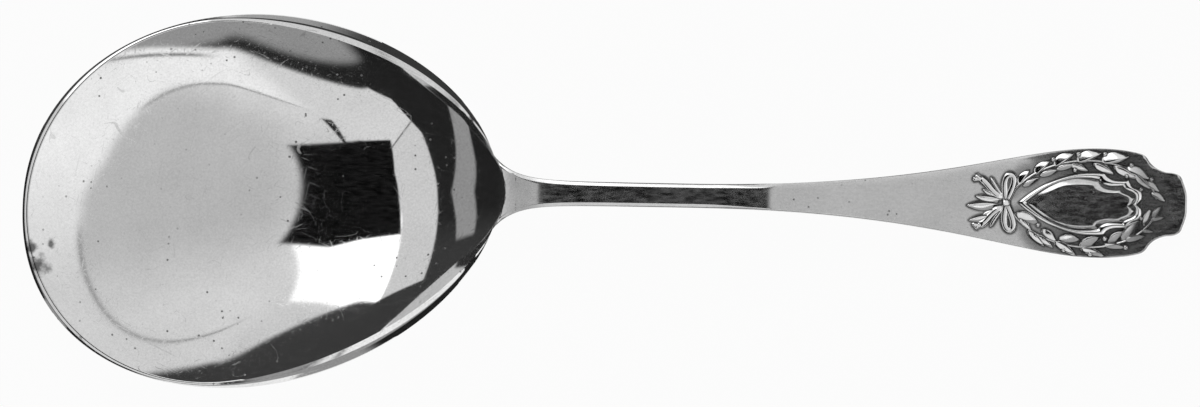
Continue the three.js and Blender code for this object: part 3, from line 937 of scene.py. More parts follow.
@dataclass(frozen=True)
class Shield:
    """Shield with a bead round a raised field.

    Places on its outline are given from the blunt end towards the point, and from the half width there
    outwards.
    """

    form: SpoonForm
    from_end: float = 7.25
    length: float = 19.4
    half_width: float = 4.9
    neck_half: float = 3.72
    lobe_half: float = 2.6
    notch: float = 0.65
    point_draw: float = 1.5
    side_draw: float = 0.4
    lobe_draw: float = 0.55
    point_pull: Place = (2.7, 2.62)
    side_pull: Place = (12.1, -0.05)
    widest: Place = (8.3, 0.0)
    shoulder_pull: Place = (6.6, 0.05)
    shoulder: Place = (5.9, -0.15)
    neck_pull: Place = (5.4, 0.05)
    neck: Place = (3.7, 0.0)
    corner_pull: Place = (2.7, -0.05)
    corner: Place = (2.1, 0.06)
    lobe_pull: Place = (1.9, 0.35)
    lobe: Place = (0.9, 0.0)
    end_pull: Place = (-0.05, -0.35)
    end_share: float = 0.5
    notch_share: float = 0.15
    curve_steps: tuple[int, ...] = (40, 8, 12, 8, 12, 10, 8)
    bead_width: float = 0.8
    bead_height: float = 0.13
    bead_round: float = 1.4
    bead_rings: int = 11
    groove: float = 0.12
    bevel_right: float = 1.0
    bevel_left: float = 0.4
    bevel_round: float = 1.25
    bevel_rings: int = 8
    field_height: float = 0.3
    field_tilt: float = 0.02
    field_rings: int = 7
    spine_inset: float = 3.0

    def loop(self, inset: float, shift: float = 0.0) -> np.ndarray:
        """Plan outline of the shield.

        Args:
            inset: How far it is drawn in.
            shift: How far it is moved to the right.

        Returns:
            Plan places in a loop, from the point along the right side.
        """
        blunt = self.form.length - self.from_end - inset
        tip = self.form.length - self.from_end - self.length + inset * self.point_draw
        half, neck = self.half_width - inset, self.neck_half - inset
        lobe = self.lobe_half - inset * self.lobe_draw

        def at(place: Place, width: float) -> Place:
            """Plan place of a place on the outline."""
            return blunt - place[0], width + place[1]

        widest, shoulder = at(self.widest, half), at(self.shoulder, half)
        narrow, corner = at(self.neck, neck), at(self.corner, neck)
        bulge, end = at(self.lobe, lobe), (blunt, lobe * self.end_share)
        point_pull = (tip + self.point_pull[0], self.point_pull[1] - inset * self.side_draw)
        curves = [
            [(tip, 0), point_pull, at(self.side_pull, half), widest],
            [widest, at(self.shoulder_pull, half), shoulder],
            [shoulder, at(self.neck_pull, neck), narrow],
            [narrow, at(self.corner_pull, neck), corner],
            [corner, at(self.lobe_pull, lobe), bulge],
            [bulge, at(self.end_pull, lobe), end],
            [end, (blunt, lobe * self.notch_share), (blunt - self.notch, 0)],
        ]
        runs = [bezier(curve, steps)[1:] for curve, steps in zip(curves, self.curve_steps)]
        right = np.concatenate(runs)
        left = right[-2::-1] * (1, -1)
        return np.concatenate([[(tip, 0)], right, left]) + (0, self.form.ornament_shift + shift)

    def tilted(self, loop: np.ndarray, rise: float) -> np.ndarray:
        """Lifts plan places by a share of the field's height, which grows towards the blunt end."""
        middle = self.form.length - self.from_end - self.length / 2
        return raised(loop, rise * (self.field_height + self.field_tilt * (loop[:, 0] - middle)))

    def build_bead(self, material: Material) -> Piece:
        """Makes the bead.

        Args:
            material: Its finish.

        Returns:
            The piece.
        """
        relief = Relief(self.form)
        rings = []
        for off in np.linspace(-1, 1, self.bead_rings):
            rise = self.bead_height * (1 - abs(off) ** self.bead_round)
            rings.append(raised(self.loop(self.bead_width * (1 + off) / 2), rise))
        relief.add_rings(np.array(rings), Ends.JOINED)
        return relief.finish("shield_bead", Slot.CHASED, material)

    def build_field(self, material: Material) -> Piece:
        """Makes the raised field, whose bevel is broader on the right side.

        Args:
            material: Its finish.

        Returns:
            The piece.
        """
        relief = Relief(self.form)
        foot = self.bead_width + self.groove
        bevel = (self.bevel_right + self.bevel_left) / 2
        lean = (self.bevel_left - self.bevel_right) / 2
        face = self.loop(foot + bevel, lean)
        along = face[:, 0]
        middle = np.clip(along, along.min() + self.spine_inset, along.max() - self.spine_inset)
        spine = np.stack([middle, np.full(len(face), lean)], axis=1)
        rings = [raised(spine, 0.0)]
        for share in np.linspace(0, 1, self.bevel_rings):
            rise = 1 - (1 - share) ** self.bevel_round
            rings.append(self.tilted(self.loop(foot + bevel * share, lean * share), rise))
        for share in np.linspace(0, 1, self.field_rings)[1:]:
            rings.append(self.tilted(lerp(face, spine, share), 1.0))
        relief.add_rings(np.array(rings), Ends.PINCHED)
        return relief.finish("shield_field", Slot.POLISHED, material)


@dataclass(frozen=True)
class Band:
    """Rounded strip along a plan line, higher on its left side."""

    width: float
    height: float
    taper: float = 0.35
    crown: float = 0.35
    fullness: float = 3.5
    turns: int = 13
    end_pace: float = 9.0
    end_round: float = 0.6

    def rings(
        self, line: np.ndarray, ahead: np.ndarray, widths: np.ndarray, heights: np.ndarray
    ) -> np.ndarray:
        """Sections across a plan line.

        Args:
            line: Plan places along the strip.
            ahead: Direction of the line at each place.
            widths: Share of the full width at each place.
            heights: Share of the full height at each place.

        Returns:
            One ring of points for each place.
        """
        ahead = ahead / np.linalg.norm(ahead, axis=1)[:, None]
        beside = np.stack([-ahead[:, 1], ahead[:, 0]], axis=1)
        rings = []
        for cosine in np.cos(np.linspace(0, math.pi, self.turns)):
            off = beside * (widths * self.width / 2 * cosine)[:, None]
            lean = 1 - self.crown * cosine * beside[:, 1]
            lift = heights * self.height * (1 - abs(cosine) ** self.fullness) * lean
            rings.append(raised(line + off, lift))
        return np.stack(rings, axis=1)

    def add_open(self, relief: Relief, line: np.ndarray) -> None:
        """Adds the strip along an open line, with ends that run down to the handle.

        Args:
            relief: The relief that it becomes part of.
            line: Plan places along it.
        """
        share = np.linspace(0, 1, len(line))
        rise = np.minimum(1, np.minimum(share, 1 - share) * self.end_pace) ** self.end_round
        rings = self.rings(line, np.gradient(line, axis=0), lerp(self.taper, 1.0, rise), rise)
        relief.add_rings(rings, Ends.CAPPED)

    def add_closed(self, relief: Relief, line: np.ndarray, heights: np.ndarray) -> None:
        """Adds the strip along a closed line.

        Args:
            relief: The relief that it becomes part of.
            line: Plan places along it.
            heights: Share of the full height at each place.
        """
        ahead = np.roll(line, -1, axis=0) - np.roll(line, 1, axis=0)
        relief.add_rings(self.rings(line, ahead, np.ones(len(line)), heights), Ends.JOINED)


@dataclass(frozen=True)
class LeafShape:
    """Leaf of unit length with a ridge, whose broad side falls to one edge."""

    width: float
    height: float
    ridge: float
    bend: float = 0.12
    along: int = 13
    across: int = 9
    belly: float = 0.8
    outline_round: float = 0.75
    roof_round: float = 0.75
    tip_round: float = 0.6
    merge: float = 1e-4

    def build(self) -> bpy.types.Object:
        """Makes the leaf, to be repeated.

        Returns:
            An object that lies along +x.
        """
        shares = np.linspace(0, 1, self.along), np.linspace(-1, 1, self.across)
        u, t = np.meshgrid(*shares, indexing="ij")
        swell = np.sin(math.pi * u**self.belly) ** self.outline_round
        swell = np.where((u <= 0) | (u >= 1), 0, swell)
        roof = np.where(t < self.ridge, (t + 1) / (self.ridge + 1), (1 - t) / (1 - self.ridge))
        rise = self.height * roof**self.roof_round * swell**self.tip_round
        side = swell * t * self.width / 2 + self.bend * self.width * np.sin(math.pi * u)
        upper = np.stack([u, side, rise], axis=-1).reshape(-1, 3)
        corner = np.arange(u.size).reshape(u.shape)
        quads = [corner[:-1, :-1], corner[1:, :-1], corner[1:, 1:], corner[:-1, 1:]]
        quads = np.stack(quads, axis=-1).reshape(-1, 4)
        points = np.concatenate([upper, upper * (1, 1, 0)])
        faces = quads.tolist() + (quads[:, ::-1] + len(upper)).tolist()
        return bpy.data.objects.new("leaf_shape", closed_mesh("leaf_shape", points, faces, self.merge))


@dataclass(frozen=True)
class BerryShape:
    """Round berry, flattened towards the handle."""

    diameter: float = 0.8
    height: float = 0.36
    around: int = 14
    rings: int = 10

    def build(self) -> bpy.types.Object:
        """Makes the berry, to be repeated.

        Returns:
            An object around the origin.
        """
        fall = np.linspace(0, math.pi, self.rings + 1)[:, None]
        turn = math.pi / 2 + np.linspace(0, 2 * math.pi, self.around + 1)[None, :-1]
        ball = np.sin(fall) * np.cos(turn), np.sin(fall) * np.sin(turn), np.cos(fall)
        size = self.diameter / 2, self.diameter / 2, self.height
        rings = np.stack(np.broadcast_arrays(*ball), axis=-1) * size
        mesh = closed_mesh("berry_shape", rings.reshape(-1, 3), ring_faces(rings, Ends.PINCHED))
        return bpy.data.objects.new("berry_shape", mesh)


class NodeSheet:
    """Short way to wire nodes."""

    def __init__(self, tree: bpy.types.NodeTree) -> None:
        """Starts on an emptied tree."""
        self.tree = tree
        tree.nodes.clear()

    def add(self, kind: str, inputs: Union[dict, None] = None, **settings: object) -> bpy.types.Node:
        """Adds a node.

        Args:
            kind: The node's type name.
            inputs: Values or sockets for its inputs, by name or number.
            settings: Attributes of the node.

        Returns:
            The new node.
        """
        node = self.tree.nodes.new(kind)
        for name, value in settings.items():
            setattr(node, name, value)
        for name, value in (inputs or {}).items():
            if isinstance(value, bpy.types.NodeSocket):
                self.tree.links.new(value, node.inputs[name])
            else:
                node.inputs[name].default_value = value
        return node

    def math(self, operation: str, *values: Value) -> Socket:
        """Adds a math node and returns its result."""
        return self.add("ShaderNodeMath", dict(enumerate(values)), operation=operation).outputs[0]

    def ease(self, value: Value, start: float, end: float) -> Socket:
        """Smooth step of a value from 0 at start to 1 at end."""
        ends = {"Value": value, "From Min": start, "From Max": end}
        return self.add("ShaderNodeMapRange", ends, interpolation_type="SMOOTHSTEP").outputs["Result"]

    def mix(self, share: Value, start: Value, end: Value) -> Socket:
        """Plain number mix from start to end."""
        return self.add("ShaderNodeMix", {0: share, 2: start, 3: end}, data_type="FLOAT").outputs[0]

    def grey(self, value: Value) -> Socket:
        """Grey colour of a number."""
        return self.add("ShaderNodeCombineColor", {0: value, 1: value, 2: value}).outputs[0]

    def noise(self, place: Socket, scale: float, detail: float, distortion: float = 0.0) -> Socket:
        """Cloudy noise at a scale in features per unit of its place."""
        inputs = {"Vector": place, "Scale": scale, "Detail": detail, "Distortion": distortion}
        return self.add("ShaderNodeTexNoise", inputs).outputs[0]

    def off(self, value: Value, centre: float) -> Socket:
        """Distance of a value from a centre."""
        return self.math("ABSOLUTE", self.math("SUBTRACT", value, centre))


class SprayTree:
    """Geometry Nodes tree that lays shapes along lines: one on each line, or several spread over it."""

    INPUTS = {
        "Shape": "NodeSocketObject",
        "Count": "NodeSocketInt",
        "Fit To Line": "NodeSocketFloat",
        "Least Size": "NodeSocketFloat",
        "Greatest Size": "NodeSocketFloat",
        "Jitter": "NodeSocketFloat",
        "Seed": "NodeSocketInt",
        "Material": "NodeSocketMaterial",
    }

    def __init__(self) -> None:
        """Builds the tree with its named inputs."""
        self.tree = bpy.data.node_groups.new("shapes_along_lines", "GeometryNodeTree")
        face = self.tree.interface
        face.new_socket("Geometry", in_out="OUTPUT", socket_type="NodeSocketGeometry")
        face.new_socket("Geometry", in_out="INPUT", socket_type="NodeSocketGeometry")
        self.sockets = {}
        for name, kind in self.INPUTS.items():
            self.sockets[name] = face.new_socket(name, in_out="INPUT", socket_type=kind).identifier
        self.wire(NodeSheet(self.tree))

    @staticmethod
    def wire(sheet: NodeSheet) -> None:
        """Wires the nodes.

        Args:
            sheet: The tree's empty node sheet.
        """
        given = sheet.add("NodeGroupInput").outputs
        line = sheet.add("GeometryNodeMeshToCurve", {"Mesh": given["Geometry"]})
        length = sheet.add("GeometryNodeSplineLength").outputs["Length"]
        kept = sheet.add(
            "GeometryNodeStoreNamedAttribute",
            {"Geometry": line.outputs[0], "Name": "run", "Value": length},
            data_type="FLOAT",
            domain="CURVE",
        )
        spread = {"Curve": kept.outputs[0], "Count": given["Count"]}
        points = sheet.add("GeometryNodeCurveToPoints", spread, mode="COUNT").outputs
        ahead = {"Vector": points["Tangent"]}
        align = sheet.add("FunctionNodeAlignRotationToVector", ahead, axis="X", pivot_axis="Z")
        limits = {2: sheet.math("MULTIPLY", given["Jitter"], -1.0), 3: given["Jitter"], "Seed": given["Seed"]}
        jitter = sheet.add("FunctionNodeRandomValue", limits)
        euler = sheet.add("ShaderNodeCombineXYZ", {"Z": sheet.math("RADIANS", jitter.outputs[1])})
        spin = sheet.add("FunctionNodeEulerToRotation", {0: euler.outputs[0]})
        turns = {0: align.outputs[0], 1: spin.outputs[0]}
        turned = sheet.add("FunctionNodeRotateRotation", turns, rotation_space="LOCAL")
        limits = {2: given["Least Size"], 3: given["Greatest Size"], "Seed": given["Seed"]}
        size = sheet.add("FunctionNodeRandomValue", limits)
        run = sheet.add("GeometryNodeInputNamedAttribute", {"Name": "run"}, data_type="FLOAT")
        fitted = sheet.math("SUBTRACT", run.outputs["Attribute"], 1.0)
        fitted = sheet.math("MULTIPLY_ADD", fitted, given["Fit To Line"], 1.0)
        shape = sheet.add("GeometryNodeObjectInfo", {"Object": given["Shape"]}, transform_space="ORIGINAL")
        placed = sheet.add(
            "GeometryNodeInstanceOnPoints",
            {
                "Points": points["Points"],
                "Instance": shape.outputs["Geometry"],
                "Rotation": turned.outputs[0],
                "Scale": sheet.math("MULTIPLY", size.outputs[1], fitted),
            },
        )
        real = sheet.add("GeometryNodeRealizeInstances", {0: placed.outputs[0]})
        dressed = {"Geometry": real.outputs[0], "Material": given["Material"]}
        paint = sheet.add("GeometryNodeSetMaterial", dressed)
        sheet.add("NodeGroupOutput", {"Geometry": paint.outputs[0]})

    def grow(self, lines: list[np.ndarray], shape: bpy.types.Object, **values: object) -> Mesh:
        """Lays a shape along plan lines, then drops the shape.

        Args:
            lines: Plan places along each line.
            shape: The shape that is repeated.
            values: Other inputs of the tree, with underscores for spaces.

        Returns:
            The repeated shapes as one mesh, in spoon millimetres.
        """
        path = bpy.data.meshes.new("lines")
        places, edges = [], []
        for line in lines:
            edges += [(len(places) + i, len(places) + i + 1) for i in range(len(line) - 1)]
            places += [(x, y, 0) for x, y in np.asarray(line, float).tolist()]
        path.from_pydata(places, edges, [])
        carrier = bpy.data.objects.new("lines", path)
        bpy.context.scene.collection.objects.link(carrier)
        modifier = carrier.modifiers.new("spray", "NODES")
        modifier.node_group = self.tree
        for name, value in (values | {"shape": shape}).items():
            modifier[self.sockets[name.replace("_", " ").title()]] = value
        evaluated = carrier.evaluated_get(bpy.context.evaluated_depsgraph_get())
        mesh = bpy.data.meshes.new_from_object(evaluated)
        carrier.modifiers.remove(modifier)
        bpy.data.objects.remove(carrier)
        bpy.data.objects.remove(shape)
        return mesh


@dataclass(frozen=True)
class Spray:
    """Leaves and berries of one branch, placed from the handle's end and from its axis outwards."""

    broad_leaves: tuple[Stretch, ...]
    slim_leaves: tuple[Stretch, ...]
    berries: tuple[Place, ...]
    broad_shape: LeafShape
    slim_shape: LeafShape


RIGHT_SPRAY = Spray(
    broad_leaves=(
        (26.8, 2.9, 25.2, 4.8),
        (24.3, 4.5, 22.1, 6.4),
        (21.3, 5.9, 18.4, 7.6),
        (17.7, 6.7, 14.2, 7.75),
        (13.8, 6.7, 9.9, 7.3),
        (9.8, 5.75, 6.3, 4.3),
        (6.9, 3.6, 4.6, 2.3),
        (5.7, 1.9, 3.9, 0.7),
    ),
    slim_leaves=(
        (26.0, 2.6, 23.7, 3.9),
        (23.4, 4.3, 20.7, 5.2),
        (20.8, 5.4, 18.2, 5.9),
        (18.6, 6.2, 16.0, 5.3),
        (15.0, 6.4, 12.0, 4.9),
        (11.8, 6.0, 8.6, 4.2),
        (8.6, 4.9, 6.4, 2.7),
    ),
    berries=(
        (21.3, 6.9), (17.3, 7.75), (13.1, 7.85), (8.9, 6.2), (5.7, 4.0), (17.8, 5.3), (9.6, 4.5), (7.3, 2.4),
    ),
    broad_shape=LeafShape(width=0.4, height=0.075, ridge=-0.6),
    slim_shape=LeafShape(width=0.34, height=0.09, ridge=0.35),
)

LEFT_SPRAY = Spray(
    broad_leaves=(
        (27.2, 1.7, 24.0, 3.2),
        (23.0, 4.1, 20.9, 6.0),
        (20.3, 5.6, 17.3, 5.8),
        (17.1, 6.8, 13.9, 5.7),
        (12.5, 6.1, 9.9, 4.6),
        (10.3, 5.7, 7.4, 2.6),
        (6.8, 3.4, 5.9, 0.8),
        (5.6, 1.9, 3.9, 0.5),
    ),
    slim_leaves=(
        (26.7, 2.4, 24.6, 4.3),
        (25.3, 4.3, 22.7, 6.6),
        (24.0, 5.1, 21.6, 6.9),
        (21.1, 6.0, 17.8, 8.0),
        (16.8, 7.1, 13.4, 8.1),
        (13.2, 6.4, 10.2, 6.9),
        (9.9, 5.7, 7.0, 5.2),
        (7.3, 4.1, 5.4, 4.2),
        (5.8, 2.4, 3.8, 2.0),
    ),
    berries=((23.5, 3.5), (12.9, 5.5), (9.4, 4.4), (9.6, 6.8), (7.2, 2.2), (19.4, 7.3), (15.2, 7.9)),
    broad_shape=LeafShape(width=0.4, height=0.13, ridge=0.55),
    slim_shape=LeafShape(width=0.32, height=0.11, ridge=0.3),
)


@dataclass(frozen=True)
class Ornament:
    """Ribbon bow, cut stalks and two laurel branches."""

    form: SpoonForm
    tree: SprayTree
    material: Material
    knot_from_end: float = 28.6
    loop_length: float = 4.75
    loop_width: float = 1.9
    loop_inset: Place = (0.45, 0.4)
    loop_pinch: float = 0.3
    loop_sweep: float = 0.6
    loop_dip: float = 0.75
    loop_steps: int = 56
    loop_band: Band = Band(width=1.05, height=0.18)
    knot_size: tuple[float, float, float] = (1.2, 1.2, 0.42)
    knot_tilt: float = 0.22
    knot_squareness: float = 0.6
    knot_steps: int = 32
    knot_profile: tuple[Place, ...] = (
        (1.0, 0.0), (0.96, 0.45), (0.86, 0.8), (0.74, 1.0), (0.4, 1.0), (0.0, 1.0),
    )
    tail_band: Band = Band(width=1.15, height=0.18, taper=0.6)
    tail_reach: Place = (5.2, 4.7)
    tail_start: Place = (-0.5, 0.75)
    tail_bends: tuple[Place, Place] = ((0.5, 0.3), (0.55, 0.7))
    fork_inset: Place = (0.9, 1.0)
    tail_steps: int = 16
    prong_band: Band = Band(width=0.75, height=0.16, taper=0.25)
    prong_length: float = 1.6
    prong_overlap: float = 0.5
    prong_steps: int = 8
    prongs: tuple[Place, Place] = ((0.42, 1.0), (-0.5, 0.85))
    spike_band: Band = Band(width=0.65, height=0.16, taper=0.2)
    spike: tuple[Place, Place, Place] = ((-0.6, 1.0), (-1.6, 2.2), (-2.5, 3.9))
    spike_steps: int = 10
    twig_band: Band = Band(width=0.4, height=0.16, taper=0.5)
    twig_stops: tuple[Place, ...] = (
        (27.6, 1.7), (26.4, 3.0), (24.0, 4.75), (21.0, 6.05), (17.6, 6.75),
        (13.7, 6.75), (9.7, 5.75), (7.2, 4.3), (5.6, 2.6), (4.9, 0.9),
    )
    twig_steps: int = 10
    stalk_shape: LeafShape = LeafShape(width=0.33, height=0.065, ridge=-0.2, bend=0.05)
    stalks: tuple[Stretch, ...] = (
        (29.6, 0.9, 32.0, 1.9),
        (29.4, 0.35, 33.2, 0.7),
        (30.0, -0.35, 34.2, -0.4),
        (30.2, -1.1, 32.2, -2.1),
        (31.3, -2.2, 34.1, -2.8),
    )
    leaf_sizes: Place = (1.05, 1.17)
    leaf_jitter: float = 3.0
    berry_shape: BerryShape = BerryShape()
    berry_sizes: Place = (0.8, 1.1)
    berry_step: float = 0.1
    stalk_seed: int = 4
    broad_seed: int = 3
    slim_seed: int = 8
    berry_seed: int = 5

    @property
    def knot(self) -> np.ndarray:
        """Plan place of the knot."""
        return np.array([self.form.length - self.knot_from_end, self.form.ornament_shift])

    def from_knot(self, points: Sequence[Place], steps: int, side: Side) -> np.ndarray:
        """Plan curve on one side of the knot, from control points given from the knot."""
        return self.knot + bezier(points, steps) * (1, side.value)

    def build_bow(self) -> Piece:
        """Makes the knot and its two loops.

        Returns:
            The piece.
        """
        relief = Relief(self.form)
        turn = np.linspace(0, 2 * math.pi, self.loop_steps + 1)[:-1]
        out = (1 - np.cos(turn)) / 2
        across = self.loop_width / 2 * np.sin(turn) * lerp(self.loop_pinch, 1.0, out)
        along = self.loop_inset[0] + out * (self.loop_length - sum(self.loop_inset))
        for side in Side:
            line = self.knot + np.stack([self.loop_sweep * out + across, side.value * along], axis=1)
            self.loop_band.add_closed(relief, line, lerp(self.loop_dip, 1.0, out))
        self.add_knot(relief)
        return relief.finish("ribbon_bow", Slot.CHASED, self.material)

    def add_knot(self, relief: Relief) -> None:
        """Adds the knot, a rounded button whose top leans to the right.

        Args:
            relief: The relief that it becomes part of.
        """
        turn = np.linspace(0, 2 * math.pi, self.knot_steps + 1)[:-1]
        rounded = np.stack([np.cos(turn), np.sin(turn)], axis=1)
        square = np.sign(rounded) * np.abs(rounded) ** self.knot_squareness
        square = square * np.array(self.knot_size[:2]) / 2
        rings = [raised(np.repeat(self.knot[None], len(turn), axis=0), 0.0)]
        for reach, rise in self.knot_profile:
            tilt = self.knot_tilt * rise * square[:, 1] * reach
            rings.append(raised(self.knot + square * reach, self.knot_size[2] * rise - tilt))
        relief.add_rings(np.array(rings), Ends.PINCHED)

    def build_tail(self, side: Side) -> Piece:
        """Makes one ribbon end, with its forked tip.

        Args:
            side: The side that it lies on.

        Returns:
            The piece.
        """
        relief = Relief(self.form)
        reach_x, reach_y = self.tail_reach
        fork = (-reach_x + self.fork_inset[0], reach_y - self.fork_inset[1])
        bends = [(-reach_x * x, reach_y * y) for x, y in self.tail_bends]
        tail = [self.tail_start, *bends, fork]
        self.tail_band.add_open(relief, self.from_knot(tail, self.tail_steps, side))
        heading = math.atan2(fork[1] - bends[1][1], fork[0] - bends[1][0])
        for spread, share in self.prongs:
            ahead = np.array([math.cos(heading + spread), math.sin(heading + spread)])
            foot = np.array(fork) - ahead * self.prong_overlap
            prong = [foot, foot + ahead * self.prong_length * share]
            self.prong_band.add_open(relief, self.from_knot(prong, self.prong_steps, side))
        self.spike_band.add_open(relief, self.from_knot(self.spike, self.spike_steps, side))
        return relief.finish(f"ribbon_tail_{side.name.lower()}", Slot.CHASED, self.material)

    def lines(self, stretches: tuple[Stretch, ...], side: Side) -> list[np.ndarray]:
        """Plan lines of leaves.

        Args:
            stretches: Start and end of each, from the handle's end and from its axis.
            side: The side that they lie on.

        Returns:
            Two plan places for each line.
        """
        end, turn = self.form.length, np.array([1, side.value])
        ends = [np.array([(end - x1, y1), (end - x2, y2)]) for x1, y1, x2, y2 in stretches]
        return [each * turn + (0, self.form.ornament_shift) for each in ends]

    def leaves(self, shape: LeafShape, stretches: tuple[Stretch, ...], side: Side, seed: int) -> Mesh:
        """One leaf on each stretch, about as long as it.

        Args:
            shape: The leaf.
            stretches: Start and end of each, from the handle's end and from its axis.
            side: The side that they lie on.
            seed: Seed of their sizes and turns.

        Returns:
            The leaves as one mesh, in spoon millimetres.
        """
        least, greatest = self.leaf_sizes
        return self.tree.grow(
            self.lines(stretches, side), shape.build(), count=1, fit_to_line=1.0, least_size=least,
            greatest_size=greatest, jitter=self.leaf_jitter, seed=seed, material=self.material,
        )

    def build_stalks(self) -> Piece:
        """Makes the cut stalks that fan out behind the knot.

        Returns:
            The piece.
        """
        relief = Relief(self.form)
        relief.add_mesh(self.leaves(self.stalk_shape, self.stalks, Side.RIGHT, self.stalk_seed))
        return relief.finish("laurel_stalks", Slot.CHASED, self.material)

    def build_branch(self, side: Side) -> Piece:
        """Makes one laurel branch: a twig round the shield, leaves and berries.

        Args:
            side: The side that it lies on.

        Returns:
            The piece.
        """
        relief = Relief(self.form)
        spray = RIGHT_SPRAY if side is Side.RIGHT else LEFT_SPRAY
        stops = np.array([(self.form.length - x, y) for x, y in self.twig_stops])
        twig = smooth_line(stops, self.twig_steps)
        self.twig_band.add_open(relief, twig * (1, side.value) + (0, self.form.ornament_shift))
        relief.add_mesh(self.leaves(spray.broad_shape, spray.broad_leaves, side, self.broad_seed))
        relief.add_mesh(self.leaves(spray.slim_shape, spray.slim_leaves, side, self.slim_seed))
        spots = self.lines(tuple((x, y, x - self.berry_step, y) for x, y in spray.berries), side)
        least, greatest = self.berry_sizes
        fruit = self.tree.grow(
            spots, self.berry_shape.build(), count=1, fit_to_line=0.0, least_size=least,
            greatest_size=greatest, jitter=0.0, seed=self.berry_seed, material=self.material,
        )
        relief.add_mesh(fruit)
        return relief.finish(f"laurel_branch_{side.name.lower()}", Slot.CHASED, self.material)


@dataclass(frozen=True)
class PaintedShadeAndTarnish:
    """Darkening and dulling kept as a point attribute of the spoon's meshes: painted shade with tarnish on
    the blade beside the relief, a painted dark reflection at the bowl's heel, and darker places on the stem
    and the branches.
    """

    form: SpoonForm
    line_reach: float = 0.45
    line_depth: float = 0.9
    wreath_reach: float = 2.0
    wreath_depth: float = 0.5
    full_share: float = 0.15
    branch_run: Place = (-11.0, -6.0)
    branch_depth: float = 0.5
    heel_start: float = -1.0
    heel_depth: float = 0.38
    stem_run: Place = (6.0, 1.0)
    stem_depth: float = 0.33

    NAME = "patina"

    def paint(self, piece: Piece, values: np.ndarray) -> None:
        """Deepens the painted shade and tarnish of a piece.

        Args:
            piece: The piece.
            values: Depth at each of its points, which counts where it is the greater one.
        """
        mesh = piece.piece.data
        layer = mesh.attributes.get(self.NAME) or mesh.attributes.new(self.NAME, "FLOAT", "POINT")
        present = np.zeros(len(mesh.vertices), np.float32)
        layer.data.foreach_get("value", present)
        layer.data.foreach_set("value", np.maximum(present, values).astype(np.float32))

    def beside(self, piece: Piece, relief: list[Piece], reach: float, depth: float) -> None:
        """Darkens a piece beside the relief that lies on it: painted shade, with tarnish.

        Args:
            piece: The piece under the relief.
            relief: The pieces that lie on it.
            reach: How far the darkening goes, in millimetres.
            depth: How deep it is beside the relief.
        """
        points, faces = [], []
        for each in relief:
            mesh = each.piece.data
            faces += [[corner + len(points) for corner in face.vertices] for face in mesh.polygons]
            points += [vertex.co for vertex in mesh.vertices]
        tree = BVHTree.FromPolygons(points, faces)
        away = [tree.find_nearest(vertex.co, reach * MM)[3] for vertex in piece.piece.data.vertices]
        away = np.array([reach if each is None else each / MM for each in away])
        self.paint(piece, depth * smoothstep(away, reach, reach * self.full_share))

    def between(self, piece: Piece, start: float, end: float, depth: float) -> None:
        """Darkens a piece more and more from one place along the spoon to another.

        Args:
            piece: The piece.
            start: Where the tarnish starts.
            end: Where it is full.
            depth: How deep it is there.
        """
        along = mesh_points(piece.piece.data)[:, 0] / MM - self.form.tip
        self.paint(piece, depth * smoothstep(along, start, end))

    def settle(
        self, bowl: Piece, stem: Piece, blade: Piece, relief: list[Piece], wreath: list[Piece]
    ) -> None:
        """Darkens and dulls the whole spoon through the attribute.

        Args:
            bowl: The bowl, darker and duller towards the stem: a painted dark reflection at its heel.
            stem: The stem, darker and duller towards the bowl.
            blade: The blade, with painted shade and tarnish beside the relief and under the wreath.
            relief: Lines on the blade: bead, ribbons and stalks.
            wreath: The two branches, dark towards the handle's end.
        """
        form = self.form
        # Painted shade with tarnish on the blade, beside the relief and under the wreath.
        self.beside(blade, relief + wreath, self.line_reach, self.line_depth)
        self.beside(blade, wreath, self.wreath_reach, self.wreath_depth)
        for branch in wreath:
            self.between(branch, *(form.length + x for x in self.branch_run), self.branch_depth)
        # Painted dark reflection at the bowl's heel.
        self.between(bowl, form.heel + self.heel_start, form.bowl_joint, self.heel_depth)
        self.between(stem, *(form.bowl_joint + x for x in self.stem_run), self.stem_depth)


@dataclass(frozen=True)
class Stain:
    """Dark ragged spot of tarnish, placed in spoon millimetres."""

    x: float
    y: float
    reach: float
    raggedness: float = 1.6
    ragged_scale: float = 700.0
    ragged_detail: float = 4.0
    edge: Place = (1.5, 0.8)
    depth: float = 0.85

    def field(self, sheet: NodeSheet, place: Socket, form: SpoonForm) -> Socket:
        """Depth of the stain by place.

        Args:
            sheet: The material's node sheet.
            place: Object coordinates.
            form: The spoon, which places the stain.

        Returns:
            A socket from 0 to the depth.
        """
        centre = tuple(form.placed(np.array([self.x, self.y, 0.0])))
        size = self.reach * MM
        flat = sheet.add("ShaderNodeVectorMath", {0: place, 1: (1, 1, 0)}, operation="MULTIPLY").outputs[0]
        away = sheet.add("ShaderNodeVectorMath", {0: flat, 1: centre}, operation="DISTANCE").outputs["Value"]
        ragged = sheet.noise(place, self.ragged_scale, self.ragged_detail)
        away = sheet.math("MULTIPLY_ADD", ragged, self.raggedness * size, away)
        return sheet.math("MULTIPLY", sheet.ease(away, self.edge[0] * size, self.edge[1] * size), self.depth)


